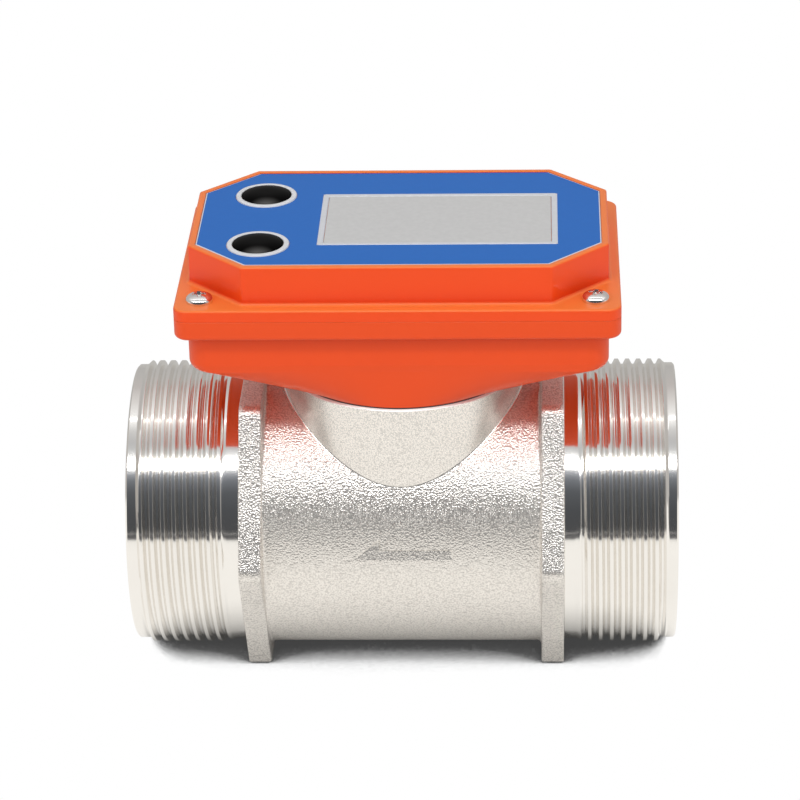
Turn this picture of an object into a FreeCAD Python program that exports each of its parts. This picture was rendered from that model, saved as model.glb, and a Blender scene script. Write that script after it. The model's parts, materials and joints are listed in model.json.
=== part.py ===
"""Turbine flow meter: threaded pipe body, free-spinning rotor and a battery-powered display head.

Every sub-part is modelled about the pipe axis, X along the pipe and Z up, and is lifted by
axis_height so that the flats of the two hexagons stand on the ground plane. Millimetres.
"""
import FreeCAD, Part
import math
import os
import re

import Sketcher

V = FreeCAD.Vector

# Driving dimensions. Nothing here is worked out from another value.
SIZES = {
    # Pipe body: cast barrel, two hexagons, two G2 male threads (held at their crest radius)
    "barrel_drop": 0.2,
    "barrel_half_length": 28.5,
    "hexagon_thickness": 4.7,
    "hexagon_proud": 0.2,
    "hexagon_round": 2.5,
    "relief_length": 2.6,
    "relief_depth": 0.6,
    "thread_radius": 29.8,
    "thread_length": 18.7,
    "land_length": 2.0,
    "land_depth": 0.8,
    "pipe_wall": 4.2,
    "mouth_chamfer": 0.8,
    "chamber_half_length": 12.0,
    "chamber_step": 1.0,
    "neck_radius": 25.0,
    "neck_rise": 3.7,
    "neck_recess_radius": 15.0,
    "neck_recess_depth": 4.0,
    "well_depth": 2.0,
    # Clearances
    "slip_gap": 0.1,
    "seat_gap": 0.02,
    "running_gap": 0.05,
    "screw_gap": 0.15,
    "button_gap": 0.15,
    "rest_gap": 0.2,
    "tip_gap": 0.6,
    # Flow straighteners and their retaining rings
    "straightener_length": 16.0,
    "straightener_wall": 1.2,
    "hub_radius": 9.0,
    "hub_length": 12.4,
    "nose_length": 12.0,
    "nose_round": 3.0,
    "vane_thickness": 1.6,
    "vane_length": 13.0,
    "vane_count": 4,
    "root_depth": 0.5,
    "ring_thickness": 2.0,
    "ring_groove_depth": 1.4,
    "ring_width": 3.2,
    "ring_gap_half": 3.0,
    "lug_radius": 2.8,
    "lug_spread": 6.0,
    "lug_hole_radius": 1.2,
    # Rotor, bush, shaft, thrust washers and magnets
    "rotor_half_length": 9.0,
    "rotor_chamfer": 0.8,
    "blade_length": 14.0,
    "blade_half_thickness": 0.8,
    "blade_lead": 127.0,
    "blade_count": 6,
    "shaft_radius": 2.5,
    "shaft_hold": 9.0,
    "bush_wall": 1.2,
    "washer_thickness": 0.5,
    "washer_radius": 5.0,
    "magnet_radius": 1.5,
    "magnet_length": 4.0,
    # Pickup sensor and its three stiff leads
    "sensor_radius": 3.5,
    "sensor_length": 11.5,
    "lead_radius": 0.3,
    "lead_pitch": 1.27,
    # Lower housing: round collar swelling into a box with a flange
    "collar_radius": 24.6,
    "collar_bearing": 40.0,
    "collar_spread": 9.0,
    "box_half_length": 42.2,
    "box_half_width": 25.8,
    "box_corner": 4.0,
    "collar_height": 1.5,
    "swell_height": 6.9,
    "swell_round": 2.0,
    "swell_lean": 0.4,
    "box_height": 6.5,
    "flange_overhang_x": 2.38,
    "flange_overhang_y": 2.65,
    "flange_corner": 3.0,
    "flange_depth": 4.1,
    "flange_edge_round": 0.9,
    "housing_wall": 2.2,
    "shelf_thickness": 2.4,
    "cavity_corner": 10.0,
    "floor_thickness": 3.0,
    "spigot_depth": 3.0,
    "seal_width": 1.6,
    "seal_height": 1.6,
    # Screws
    "neck_screw_circle": 19.0,
    "neck_screw_radius": 1.5,
    "neck_screw_length": 8.0,
    "neck_screw_head": 2.75,
    "neck_screw_head_height": 2.0,
    "cover_screw_inset": 5.1,
    "cover_screw_radius": 1.25,
    "cover_screw_length": 10.0,
    "cover_screw_head": 2.75,
    "cover_screw_head_height": 1.7,
    "small_screw_radius": 1.0,
    "small_screw_head": 1.9,
    "small_screw_head_height": 1.2,
    "board_screw_length": 6.0,
    "holder_screw_length": 6.0,
    # Housing gasket, sunk in the flange
    "gasket_inset": 1.8,
    "gasket_width": 1.3,
    "gasket_corner": 1.8,
    "gasket_height": 1.2,
    # Upper cover: flange and eight-sided platform
    "cover_flange": 2.5,
    "platform_height": 8.2,
    "platform_inset_x": 2.3,
    "platform_inset_y": 2.78,
    "platform_chamfer": 11.45,
    "platform_corner_round": 0.8,
    "platform_rim_round": 0.5,
    "cover_wall": 2.2,
    "cover_roof": 2.0,
    "recess_depth": 0.5,
    "rim_width": 1.4,
    "label_thickness": 0.3,
    # Display
    "face_y": -0.7,
    "bezel_end_margin": 8.93,
    "bezel_side_margin": 11.12,
    "bezel_button_reach": 11.95,
    "bezel_border_x": 1.15,
    "bezel_border_y": 1.0,
    "bezel_thickness": 0.4,
    "window_thickness": 0.3,
    "window_ledge": 0.9,
    "glass_gap": 0.3,
    "panel_margin": 3.0,
    "panel_thickness": 2.5,
    "holder_wall": 1.5,
    # Buttons and switches
    "button_inset": 12.68,
    "button_side_margin": 11.52,
    "button_radius": 5.05,
    "button_crown": 0.75,
    "button_edge": 0.35,
    "button_flange": 0.85,
    "button_flange_thickness": 1.1,
    "button_stem": 2.0,
    "button_ring_width": 1.1,
    "switch_half": 3.0,
    "switch_height": 3.5,
    "plunger_radius": 1.75,
    "plunger_rise": 1.0,
    "plunger_sink": 0.8,
    "plunger_travel": 0.5,
    # Circuit board and its bosses
    "board_thickness": 1.6,
    "board_drop": 6.4,
    "board_gap": 0.5,
    "boss_inset_x": 20.08,
    "boss_inset_y": 3.87,
    "boss_radius": 2.3,
    # Battery compartment: two small cylindrical cells side by side
    "cell_radius": 5.25,
    "cell_length": 43.3,
    "cell_tip_radius": 1.9,
    "cell_tip_length": 1.2,
    "cell_gap": 0.15,
    "cell_y": 8.0,
    "contact_thickness": 0.4,
    "contact_reach": 0.75,
    "contact_half": 3.6,
    "holder_floor": 1.2,
    "holder_web": 2.4,
    "holder_height": 7.0,
    "holder_end": 1.5,
    "holder_side": 1.2,
    "post_height": 5.3,
    "post_radius": 2.6,
    "post_x": 12.0,
    "slot_half": 2.6,
    "battery_lead_radius": 0.5,
}

# Places and sizes that follow from the driving dimensions.
PLACES = {
    "barrel_radius": "thread_radius - barrel_drop",
    "bore_radius": "thread_radius - pipe_wall",
    "hexagon_flat": "thread_radius + hexagon_proud",
    "hexagon_reach": "hexagon_flat / cos(30)",
    "hexagon_half_reach": "hexagon_reach / 2",
    "axis_height": "hexagon_flat",
    "hexagon_face": "barrel_half_length + hexagon_thickness",
    "thread_start": "hexagon_face + relief_length",
    "thread_end": "thread_start + thread_length",
    "half_length": "thread_end + land_length",
    "relief_radius": "thread_radius - relief_depth",
    "land_radius": "thread_radius - land_depth",
    "mouth_radius": "bore_radius + mouth_chamfer",
    "mouth_start": "half_length - mouth_chamfer",
    "chamber_radius": "bore_radius - chamber_step",
    "groove_start": "chamber_half_length + straightener_length",
    "ring_end": "groove_start + ring_thickness",
    "groove_end": "ring_end + slip_gap",
    "groove_radius": "bore_radius + ring_groove_depth",
    "neck_top": "barrel_radius + neck_rise",
    "recess_floor": "neck_top - neck_recess_depth",
    "well_floor": "recess_floor - well_depth",
    "well_radius": "sensor_radius + slip_gap",
    "straightener_radius": "bore_radius - slip_gap",
    "straightener_bore": "straightener_radius - straightener_wall",
    "hub_face": "rotor_half_length + 2 * running_gap + washer_thickness",
    "hub_shoulder": "hub_face + hub_length",
    "nose_tip": "hub_shoulder + nose_length",
    "nose_run": "nose_length - nose_round",
    "nose_lean": "acos(nose_round / sqrt(hub_radius ^ 2 + nose_run ^ 2)) - atan(nose_run / hub_radius)",
    "nose_turn": "nose_tip - nose_round * (1 - sin(nose_lean))",
    "nose_turn_radius": "nose_round * cos(nose_lean)",
    "shaft_end": "hub_face + shaft_hold",
    "shaft_socket_end": "shaft_end + slip_gap",
    "shaft_socket_radius": "shaft_radius + seat_gap",
    "vane_inner": "hub_radius - root_depth",
    "vane_outer": "straightener_bore + root_depth",
    "vane_start": "chamber_half_length + (straightener_length - vane_length) / 2",
    "vane_end": "vane_start + vane_length",
    "ring_outer": "groove_radius - slip_gap",
    "ring_inner": "ring_outer - ring_width",
    "lug_drop": "ring_inner - lug_radius / 2",
    "rotor_length": "2 * rotor_half_length",
    "rotor_shoulder": "rotor_half_length - rotor_chamfer",
    "rotor_face_radius": "hub_radius - rotor_chamfer",
    "blade_start": "-blade_length / 2",
    "blade_root": "hub_radius - root_depth",
    "blade_tip": "chamber_radius - tip_gap",
    "bush_inner": "shaft_radius + running_gap",
    "bush_outer": "bush_inner + bush_wall",
    "rotor_bore": "bush_outer + seat_gap",
    "washer_start": "rotor_half_length + running_gap",
    "washer_bore": "shaft_radius + running_gap",
    "magnet_foot": "hub_radius - seat_gap - magnet_length",
    "magnet_hole_radius": "magnet_radius + seat_gap",
    "magnet_hole_depth": "magnet_length + 2 * seat_gap",
    "sensor_top": "well_floor + sensor_length",
    "lead_length": "board_bottom - sensor_top",
    # Lower housing
    "flange_half_length": "box_half_length + flange_overhang_x",
    "flange_half_width": "box_half_width + flange_overhang_y",
    "collar_far_x": "collar_radius * cos(collar_bearing - collar_spread)",
    "collar_near_x": "collar_radius * cos(collar_bearing + collar_spread)",
    "swell_level": "neck_top + collar_height",
    "edge_level": "swell_level + swell_height",
    "edge_half_length": "box_half_length - swell_round",
    "edge_half_width": "box_half_width - swell_lean",
    "turn_level": "edge_level + swell_round * (1 - cos(45))",
    "turn_half_length": "box_half_length - swell_round * (1 - sin(45))",
    "turn_half_width": "box_half_width - swell_lean * (1 - sin(45))",
    "box_level": "edge_level + swell_round",
    "flange_level": "box_level + box_height",
    "parting_level": "flange_level + flange_depth",
    "floor_level": "neck_top + floor_thickness",
    "cavity_radius": "collar_radius - housing_wall",
    "cavity_far_x": "cavity_radius * cos(collar_bearing - collar_spread)",
    "cavity_near_x": "cavity_radius * cos(collar_bearing + collar_spread)",
    "cavity_level": "edge_level + shelf_thickness",
    "cavity_half_length": "box_half_length - housing_wall",
    "cavity_half_width": "box_half_width - housing_wall",
    "cavity_height": "parting_level - cavity_level",
    "spigot_radius": "neck_recess_radius - slip_gap",
    "spigot_bottom": "neck_top - spigot_depth",
    "seal_outer": "neck_recess_radius - seat_gap",
    "seal_inner": "seal_outer - seal_width",
    "seal_low": "neck_top - (spigot_depth + seal_height) / 2",
    "seal_high": "seal_low + seal_height",
    "seal_groove_radius": "seal_inner - seat_gap",
    "seal_groove_low": "seal_low - slip_gap",
    "seal_groove_high": "seal_high + slip_gap",
    "sensor_hole_radius": "sensor_radius + slip_gap",
    # Screws
    "neck_screw_hole": "neck_screw_radius + screw_gap",
    "neck_screw_tapped": "neck_screw_radius + running_gap",
    "neck_screw_tip": "floor_level - neck_screw_length",
    "neck_screw_crown": "floor_level + neck_screw_head_height",
    "neck_screw_hole_end": "neck_screw_tip - slip_gap",
    "neck_screw_depth": "neck_top - neck_screw_hole_end",
    "neck_screw_reach": "neck_screw_circle / sqrt(2)",
    "cover_screw_x": "flange_half_length - cover_screw_inset",
    "cover_screw_y": "flange_half_width - cover_screw_inset",
    "cover_screw_hole": "cover_screw_radius + screw_gap",
    "cover_screw_tapped": "cover_screw_radius + running_gap",
    "cover_screw_seat": "parting_level + cover_flange",
    "cover_screw_tip": "cover_screw_seat - cover_screw_length",
    "cover_screw_top": "cover_screw_seat + cover_screw_head_height",
    "cover_screw_rim": "cover_screw_seat + cover_screw_head_height / 4",
    "cover_screw_rise": "cover_screw_top - cover_screw_rim",
    "cover_screw_crown": "(cover_screw_head ^ 2 + cover_screw_rise ^ 2) / (2 * cover_screw_rise)",
    "cover_screw_depth": "parting_level - cover_screw_tip + slip_gap",
    "small_screw_hole": "small_screw_radius + screw_gap",
    "small_screw_tapped": "small_screw_radius + running_gap",
    # Gasket
    "gasket_half_length": "flange_half_length - gasket_inset",
    "gasket_half_width": "flange_half_width - gasket_inset",
    "gasket_inner_half_length": "gasket_half_length - gasket_width",
    "gasket_inner_half_width": "gasket_half_width - gasket_width",
    "gasket_inner_corner": "gasket_corner - gasket_width",
    "gasket_floor": "parting_level - gasket_height",
    "groove_half_length": "gasket_half_length + running_gap",
    "groove_half_width": "gasket_half_width + running_gap",
    "groove_inner_half_length": "gasket_inner_half_length - running_gap",
    "groove_inner_half_width": "gasket_inner_half_width - running_gap",
    # Upper cover
    "platform_half_length": "flange_half_length - platform_inset_x",
    "platform_half_width": "flange_half_width - platform_inset_y",
    "platform_level": "parting_level + cover_flange",
    "platform_top": "platform_level + platform_height",
    "platform_flat_x": "platform_half_length - platform_chamfer",
    "platform_flat_y": "platform_half_width - platform_chamfer",
    "rim_chamfer": "platform_chamfer - rim_width * (2 - sqrt(2))",
    "recess_half_length": "platform_half_length - rim_width",
    "recess_half_width": "platform_half_width - rim_width",
    "recess_flat_x": "recess_half_length - rim_chamfer",
    "recess_flat_y": "recess_half_width - rim_chamfer",
    "recess_level": "platform_top - recess_depth",
    "roof_level": "recess_level - cover_roof",
    "hollow_chamfer": "platform_chamfer - cover_wall * (2 - sqrt(2))",
    "hollow_half_length": "platform_half_length - cover_wall",
    "hollow_half_width": "platform_half_width - cover_wall",
    "hollow_flat_x": "hollow_half_length - hollow_chamfer",
    "hollow_flat_y": "hollow_half_width - hollow_chamfer",
    "hollow_height": "roof_level - parting_level",
    "label_half_length": "recess_half_length - slip_gap",
    "label_half_width": "recess_half_width - slip_gap",
    "label_flat_x": "recess_flat_x",
    "label_flat_y": "recess_flat_y",
    # Display
    "button_x": "button_inset - recess_half_length",
    "bezel_start": "button_x + bezel_button_reach",
    "bezel_end": "recess_half_length - bezel_end_margin",
    "window_x": "(bezel_start + bezel_end) / 2",
    "bezel_half_length": "(bezel_end - bezel_start) / 2",
    "bezel_half_width": "recess_half_width - bezel_side_margin",
    "label_hole_half_length": "bezel_half_length + slip_gap",
    "label_hole_half_width": "bezel_half_width + slip_gap",
    "bezel_inner_half_length": "bezel_half_length - bezel_border_x",
    "bezel_inner_half_width": "bezel_half_width - bezel_border_y",
    "window_half_length": "bezel_inner_half_length - slip_gap",
    "window_half_width": "bezel_inner_half_width - slip_gap",
    "opening_half_length": "window_half_length - window_ledge",
    "opening_half_width": "window_half_width - window_ledge",
    "glass_half_length": "opening_half_length - glass_gap",
    "glass_half_width": "opening_half_width - glass_gap",
    "glass_height": "recess_level - slip_gap - panel_top",
    "panel_half_length": "glass_half_length + panel_margin",
    "panel_half_width": "glass_half_width + panel_margin",
    "panel_top": "roof_level - slip_gap",
    "panel_level": "panel_top - panel_thickness",
    "display_holder_height": "panel_level - board_top",
    "holder_inner_half_length": "panel_half_length - holder_wall",
    "holder_inner_half_width": "panel_half_width - holder_wall",
    # Buttons and switches
    "button_half_pitch": "recess_half_width - button_side_margin",
    "mode_button_y": "face_y + button_half_pitch",
    "reset_button_y": "face_y - button_half_pitch",
    "button_hole": "button_radius + button_gap",
    "button_ring_radius": "button_hole + button_ring_width",
    "button_label_hole": "button_ring_radius + slip_gap",
    "button_flange_radius": "button_hole + button_flange",
    "button_flange_top": "roof_level - rest_gap",
    "button_flange_bottom": "button_flange_top - button_flange_thickness",
    "button_foot": "switch_top + plunger_rise",
    "button_shoulder": "platform_top + button_edge",
    "button_top": "button_shoulder + button_crown",
    "button_dome": "(button_radius ^ 2 + button_crown ^ 2) / (2 * button_crown)",
    "board_top": "roof_level - board_drop",
    "board_bottom": "board_top - board_thickness",
    "switch_top": "board_top + switch_height",
    "switch_well": "plunger_radius + button_gap",
    "switch_well_depth": "plunger_sink + plunger_travel + rest_gap",
    "plunger_foot": "switch_top - plunger_sink",
    "plunger_length": "plunger_sink + plunger_rise",
    # Circuit board and its bosses
    "boss_x": "hollow_half_length - boss_inset_x",
    "boss_y": "hollow_half_width - boss_inset_y",
    "board_half_length": "hollow_half_length - board_gap",
    "board_half_width": "hollow_half_width - board_gap",
    "board_flat_x": "hollow_flat_x - board_gap / 2",
    "board_flat_y": "hollow_flat_y - board_gap / 2",
    "board_screw_top": "board_bottom + board_screw_length",
    "board_screw_head_bottom": "board_bottom - small_screw_head_height",
    "board_screw_hole_depth": "board_screw_length - board_thickness + slip_gap",
    # Battery compartment
    "post_top": "floor_level + post_height",
    "holder_level": "post_top",
    "cell_level": "holder_level + holder_floor + cell_gap + cell_radius",
    "cell_end": "(cell_length + cell_tip_length) / 2",
    "cell_shoulder": "cell_end - cell_tip_length",
    "trough_half_length": "cell_end + contact_reach + contact_thickness",
    "trough_half_width": "cell_radius + cell_gap",
    "trough_level": "holder_level + holder_floor",
    "trough_depth": "holder_height - holder_floor",
    "holder_half_length": "trough_half_length + holder_end",
    "holder_half_width": "cell_y + trough_half_width + holder_side",
    "web_half_width": "cell_y - trough_half_width + slip_gap",
    "web_top": "holder_level + holder_web",
    "holder_top": "holder_level + holder_height",
    "web_depth": "holder_height - holder_web",
    "contact_face": "cell_end + contact_reach",
    "contact_height": "holder_height - holder_floor",
    "holder_screw_tip": "web_top - holder_screw_length",
    "holder_screw_top": "web_top + small_screw_head_height",
    "post_hole_depth": "post_top - holder_screw_tip + slip_gap",
    "battery_lead_x": "contact_face + contact_thickness / 2",
    "battery_lead_y": "cell_y + cell_tip_radius + battery_lead_radius + slip_gap",
    "battery_lead_length": "board_bottom - holder_top",
}

doc = FreeCAD.newDocument("flow_meter")


def full(text):
    """Write each named size or place out with the sheet that holds it."""
    def with_sheet(match):
        name = match.group()
        if name in SIZES:
            return "Sizes." + name
        if name in PLACES:
            return "Places." + name
        return name
    return re.sub(r"[a-z]+(?:_[a-z]+)+", with_sheet, text)


def write_sheet(name, rows):
    sheet = doc.addObject("Spreadsheet::Sheet", name)
    for line, (alias, content) in enumerate(rows.items(), 1):
        sheet.set(f"A{line}", alias)
        sheet.set(f"B{line}", content)
        sheet.setAlias(f"B{line}", alias)
    return sheet


sizes = write_sheet("Sizes", {name: str(size) for name, size in SIZES.items()})
places = write_sheet("Places", {name: "=" + full(rule).replace("Places.", "") for name, rule in PLACES.items()})
doc.recompute()


def amount(name):
    """The value of a named size or place; a leading minus turns its sign, and 0 is itself."""
    if name == "0":
        return 0.0
    if name.startswith("-"):
        return -amount(name[1:])
    return float(sizes.get(name) if name in SIZES else places.get(name))


def bind(feature, **rules):
    """Bind properties of a feature to named sizes and places."""
    for prop, rule in rules.items():
        feature.setExpression(prop.replace("__", "."), full(rule))


# ---------------------------------------------------------------------------------------------
# Bodies, sketches and features
# ---------------------------------------------------------------------------------------------

PARTS = []
VOLUMES = {}


def start_body(label, x="0", y="0"):
    """A sub-part whose own origin is on the pipe axis, or x and y away from it."""
    body = doc.addObject("PartDesign::Body", label)
    body.Label = label
    bind(body, Placement__Base__x=x, Placement__Base__y=y, Placement__Base__z="axis_height")
    PARTS.append(body)
    return body


def origin_feature(body, role):
    return next(feature for feature in body.Origin.OriginFeatures if feature.Role == role)


def new_sketch(body, plane, level="0", shift=("0", "0")):
    """A sketch on one of the body's own planes, raised along its normal and shifted in it."""
    sketch = body.newObject("Sketcher::SketchObject", body.Name + "_sketch")
    sketch.AttachmentSupport = [(origin_feature(body, plane), "")]
    sketch.MapMode = "FlatFace"
    bind(sketch, AttachmentOffset__Base__x=shift[0], AttachmentOffset__Base__y=shift[1],
         AttachmentOffset__Base__z=level)
    return sketch


def hold_point(sketch, edge, end, place):
    """Hold one end of an edge at named distances from the sketch's origin."""
    for name, kind, crossing_axis in zip(place, ("DistanceX", "DistanceY"), (-2, -1)):
        if name == "0":
            sketch.addConstraint(Sketcher.Constraint("PointOnObject", edge, end, crossing_axis))
        else:
            rule = Sketcher.Constraint(kind, -1, 1, edge, end, amount(name))
            sketch.setExpression(f"Constraints[{sketch.addConstraint(rule)}]", full(name))


def arc_between(start, end, radius, turn):
    """The shorter arc from start to end, turning left (1) or right (-1)."""
    chord = end - start
    rise = math.sqrt(max(radius ** 2 - (chord.Length / 2) ** 2, 0.0))
    side = V(-chord.y, chord.x, 0).normalize() * (rise * turn)
    centre = (start + end) * 0.5 + side
    first, last = (start, end) if turn > 0 else (end, start)
    angles = [math.atan2(point.y - centre.y, point.x - centre.x) for point in (first, last)]
    return Part.ArcOfCircle(Part.Circle(centre, V(0, 0, 1), radius), *angles)


def outline(sketch, points, arcs=None):
    """A closed outline through named points; arcs gives {edge: (radius name, turn)}."""
    arcs = arcs or {}
    first = sketch.GeometryCount
    corners = [V(amount(x), amount(y), 0) for x, y in points]
    ends = []
    for here, start in enumerate(corners):
        end = corners[(here + 1) % len(corners)]
        if here in arcs:
            radius, turn = arcs[here]
            edge = sketch.addGeometry(arc_between(start, end, amount(radius), turn), False)
            ends.append((1, 2) if turn > 0 else (2, 1))
        else:
            sketch.addGeometry(Part.LineSegment(start, end), False)
            ends.append((1, 2))
    for here, place in enumerate(points):
        after = (here + 1) % len(points)
        joint = Sketcher.Constraint("Coincident", first + here, ends[here][1], first + after, ends[after][0])
        sketch.addConstraint(joint)
        hold_point(sketch, first + here, ends[here][0], place)
    for here, (radius, _turn) in arcs.items():
        rule = sketch.addConstraint(Sketcher.Constraint("Radius", first + here, amount(radius)))
        sketch.setExpression(f"Constraints[{rule}]", full(radius))
    return sketch


def circle(sketch, radius, x="0", y="0"):
    edge = sketch.addGeometry(Part.Circle(V(amount(x), amount(y), 0), V(0, 0, 1), amount(radius)), False)
    hold_point(sketch, edge, 3, (x, y))
    rule = sketch.addConstraint(Sketcher.Constraint("Radius", edge, amount(radius)))
    sketch.setExpression(f"Constraints[{rule}]", full(radius))
    return sketch


def rectangle(sketch, half_x, half_y):
    return outline(sketch, [("-" + half_x, "-" + half_y), (half_x, "-" + half_y),
                            (half_x, half_y), ("-" + half_x, half_y)])


def octagon(sketch, prefix):
    """A rectangle with its corners cut off, from the prefix's half and flat sizes."""
    half_x, half_y = prefix + "_half_length", prefix + "_half_width"
    flat_x, flat_y = prefix + "_flat_x", prefix + "_flat_y"
    quarter = [(flat_x, half_y), (half_x, flat_y)]
    right = [(x, "-" + y) for x, y in quarter] + [(x, y) for x, y in reversed(quarter)]
    left = [("-" + x, y) for x, y in quarter] + [("-" + x, "-" + y) for x, y in reversed(quarter)]
    return outline(sketch, right + left)


def rounded_rectangle(sketch, half_x, half_y, radius):
    """Four sides and four tangent corner arcs, anticlockwise from the front side."""
    first = sketch.GeometryCount
    x, y, r = amount(half_x), amount(half_y), amount(radius)
    sides = [(V(r - x, -y, 0), V(x - r, -y, 0)), (V(x, r - y, 0), V(x, y - r, 0)),
             (V(x - r, y, 0), V(r - x, y, 0)), (V(-x, y - r, 0), V(-x, r - y, 0))]
    for here, (start, end) in enumerate(sides):
        sketch.addGeometry(Part.LineSegment(start, end), False)
        sketch.addGeometry(arc_between(end, sides[(here + 1) % 4][0], r, 1), False)
    for here, side in enumerate(("-" + half_y, half_x, half_y, "-" + half_x)):
        line, arc, after = first + 2 * here, first + 2 * here + 1, first + (2 * here + 2) % 8
        kind, turn = (("DistanceY", "Horizontal"), ("DistanceX", "Vertical"))[here % 2]
        sketch.addConstraint(Sketcher.Constraint(turn, line))
        sketch.addConstraint(Sketcher.Constraint("Tangent", line, 2, arc, 1))
        sketch.addConstraint(Sketcher.Constraint("Tangent", arc, 2, after, 1))
        distance = sketch.addConstraint(Sketcher.Constraint(kind, -1, 1, line, 1, amount(side)))
        sketch.setExpression(f"Constraints[{distance}]", full(side))
        rule = sketch.addConstraint(Sketcher.Constraint("Radius", arc, r))
        sketch.setExpression(f"Constraints[{rule}]", full(radius))
    return sketch


def split_circle(sketch, radius, near_x, far_x):
    """A circle in eight arcs that answer the sides and corners of a rounded rectangle."""
    first = sketch.GeometryCount
    r = amount(radius)
    joints = [("-" + near_x, -1), (near_x, -1), (far_x, -1), (far_x, 1),
              (near_x, 1), ("-" + near_x, 1), ("-" + far_x, 1), ("-" + far_x, -1)]
    corners = [V(amount(x), side * math.sqrt(r * r - amount(x) ** 2), 0) for x, side in joints]
    for here, start in enumerate(corners):
        sketch.addGeometry(arc_between(start, corners[(here + 1) % 8], r, 1), False)
    for here, (x, _side) in enumerate(joints):
        edge = first + here
        if here < 7:
            sketch.addConstraint(Sketcher.Constraint("Coincident", edge, 3, -1, 1))
        else:
            sketch.addConstraint(Sketcher.Constraint("Equal", edge, first))
        sketch.addConstraint(Sketcher.Constraint("Coincident", edge, 2, first + (here + 1) % 8, 1))
        distance = sketch.addConstraint(Sketcher.Constraint("DistanceX", -1, 1, edge, 1, amount(x)))
        sketch.setExpression(f"Constraints[{distance}]", full(x))
    rule = sketch.addConstraint(Sketcher.Constraint("Radius", first, r))
    sketch.setExpression(f"Constraints[{rule}]", full(radius))
    return sketch


def finish_feature(body, feature, grows):
    """Make the feature the body's tip, and see that it added or removed material as it should."""
    doc.recompute()
    body.Tip = feature
    doc.recompute()
    before, after = VOLUMES.get(body.Name, 0.0), body.Shape.Volume
    if (after > before) != grows:
        raise RuntimeError(f"{body.Label}: {feature.Name} leaves the volume at {after:.2f}")
    VOLUMES[body.Name] = after
    return feature


def pad(body, sketch, length, reverse=False, both_ways=False):
    feature = body.newObject("PartDesign::Pad", body.Name + "_pad")
    feature.Profile = (sketch, [""])
    feature.Reversed = reverse
    feature.Midplane = both_ways
    bind(feature, Length=length)
    return finish_feature(body, feature, True)


def pocket(body, sketch, length, reverse=False):
    """Cut against the sketch's normal, or along it when reversed."""
    feature = body.newObject("PartDesign::Pocket", body.Name + "_pocket")
    feature.Profile = (sketch, [""])
    feature.Reversed = reverse
    bind(feature, Length=length)
    return finish_feature(body, feature, False)


def turned(body, sketch, axis="H_Axis", cut=False):
    kind = "Groove" if cut else "Revolution"
    feature = body.newObject("PartDesign::" + kind, body.Name + "_" + kind.lower())
    feature.Profile = (sketch, [""])
    feature.ReferenceAxis = (sketch, [axis])
    feature.Angle = 360
    return finish_feature(body, feature, not cut)


def loft(body, sections, cut=False):
    kind = "SubtractiveLoft" if cut else "AdditiveLoft"
    feature = body.newObject("PartDesign::" + kind, body.Name + "_loft")
    feature.Ruled = True
    feature.Profile = (sections[0], [""])
    feature.Sections = [(section, [""]) for section in sections[1:]]
    return finish_feature(body, feature, not cut)


def around(body, features, axis, count, grows):
    """Repeat features evenly about one of the body's axes."""
    feature = body.newObject("PartDesign::PolarPattern", body.Name + "_polar")
    feature.Originals = features
    feature.Axis = (origin_feature(body, axis), [""])
    feature.Angle = 360
    if isinstance(count, str):
        bind(feature, Occurrences=count)
    else:
        feature.Occurrences = count
    return finish_feature(body, feature, grows)


def mirrored(body, features, planes, grows):
    """Repeat features across one or two of the body's planes."""
    mirrors = []
    for plane in planes:
        mirror = body.newObject("PartDesign::Mirrored", body.Name + "_mirror")
        mirror.MirrorPlane = (origin_feature(body, plane), [""])
        mirrors.append(mirror)
    if len(mirrors) == 1:
        mirrors[0].Originals = features
        return finish_feature(body, mirrors[0], grows)
    group = body.newObject("PartDesign::MultiTransform", body.Name + "_mirrors")
    group.Originals = features
    group.Transformations = mirrors
    return finish_feature(body, group, grows)


def rounded(body, radius, test):
    """Fillet the edges of the body's last feature that pass the test."""
    base = body.Tip
    edges = [f"Edge{n}" for n, edge in enumerate(base.Shape.Edges, 1) if test(edge)]
    feature = body.newObject("PartDesign::Fillet", body.Name + "_fillet")
    feature.Base = (base, edges)
    bind(feature, Radius=radius)
    doc.recompute()
    body.Tip = feature
    doc.recompute()
    VOLUMES[body.Name] = body.Shape.Volume
    return feature


def runs_along(edge, axis):
    """True for a straight edge parallel to the axis."""
    if edge.Curve.TypeId != "Part::GeomLine":
        return False
    return abs(abs(edge.Curve.Direction.dot(axis)) - 1) < 1e-6


def lies_at(edge, level):
    """True for an edge that lies all at one height."""
    return abs(edge.BoundBox.ZMin - level) < 1e-4 and abs(edge.BoundBox.ZMax - level) < 1e-4


# ---------------------------------------------------------------------------------------------
# Pipe body
# ---------------------------------------------------------------------------------------------

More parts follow.
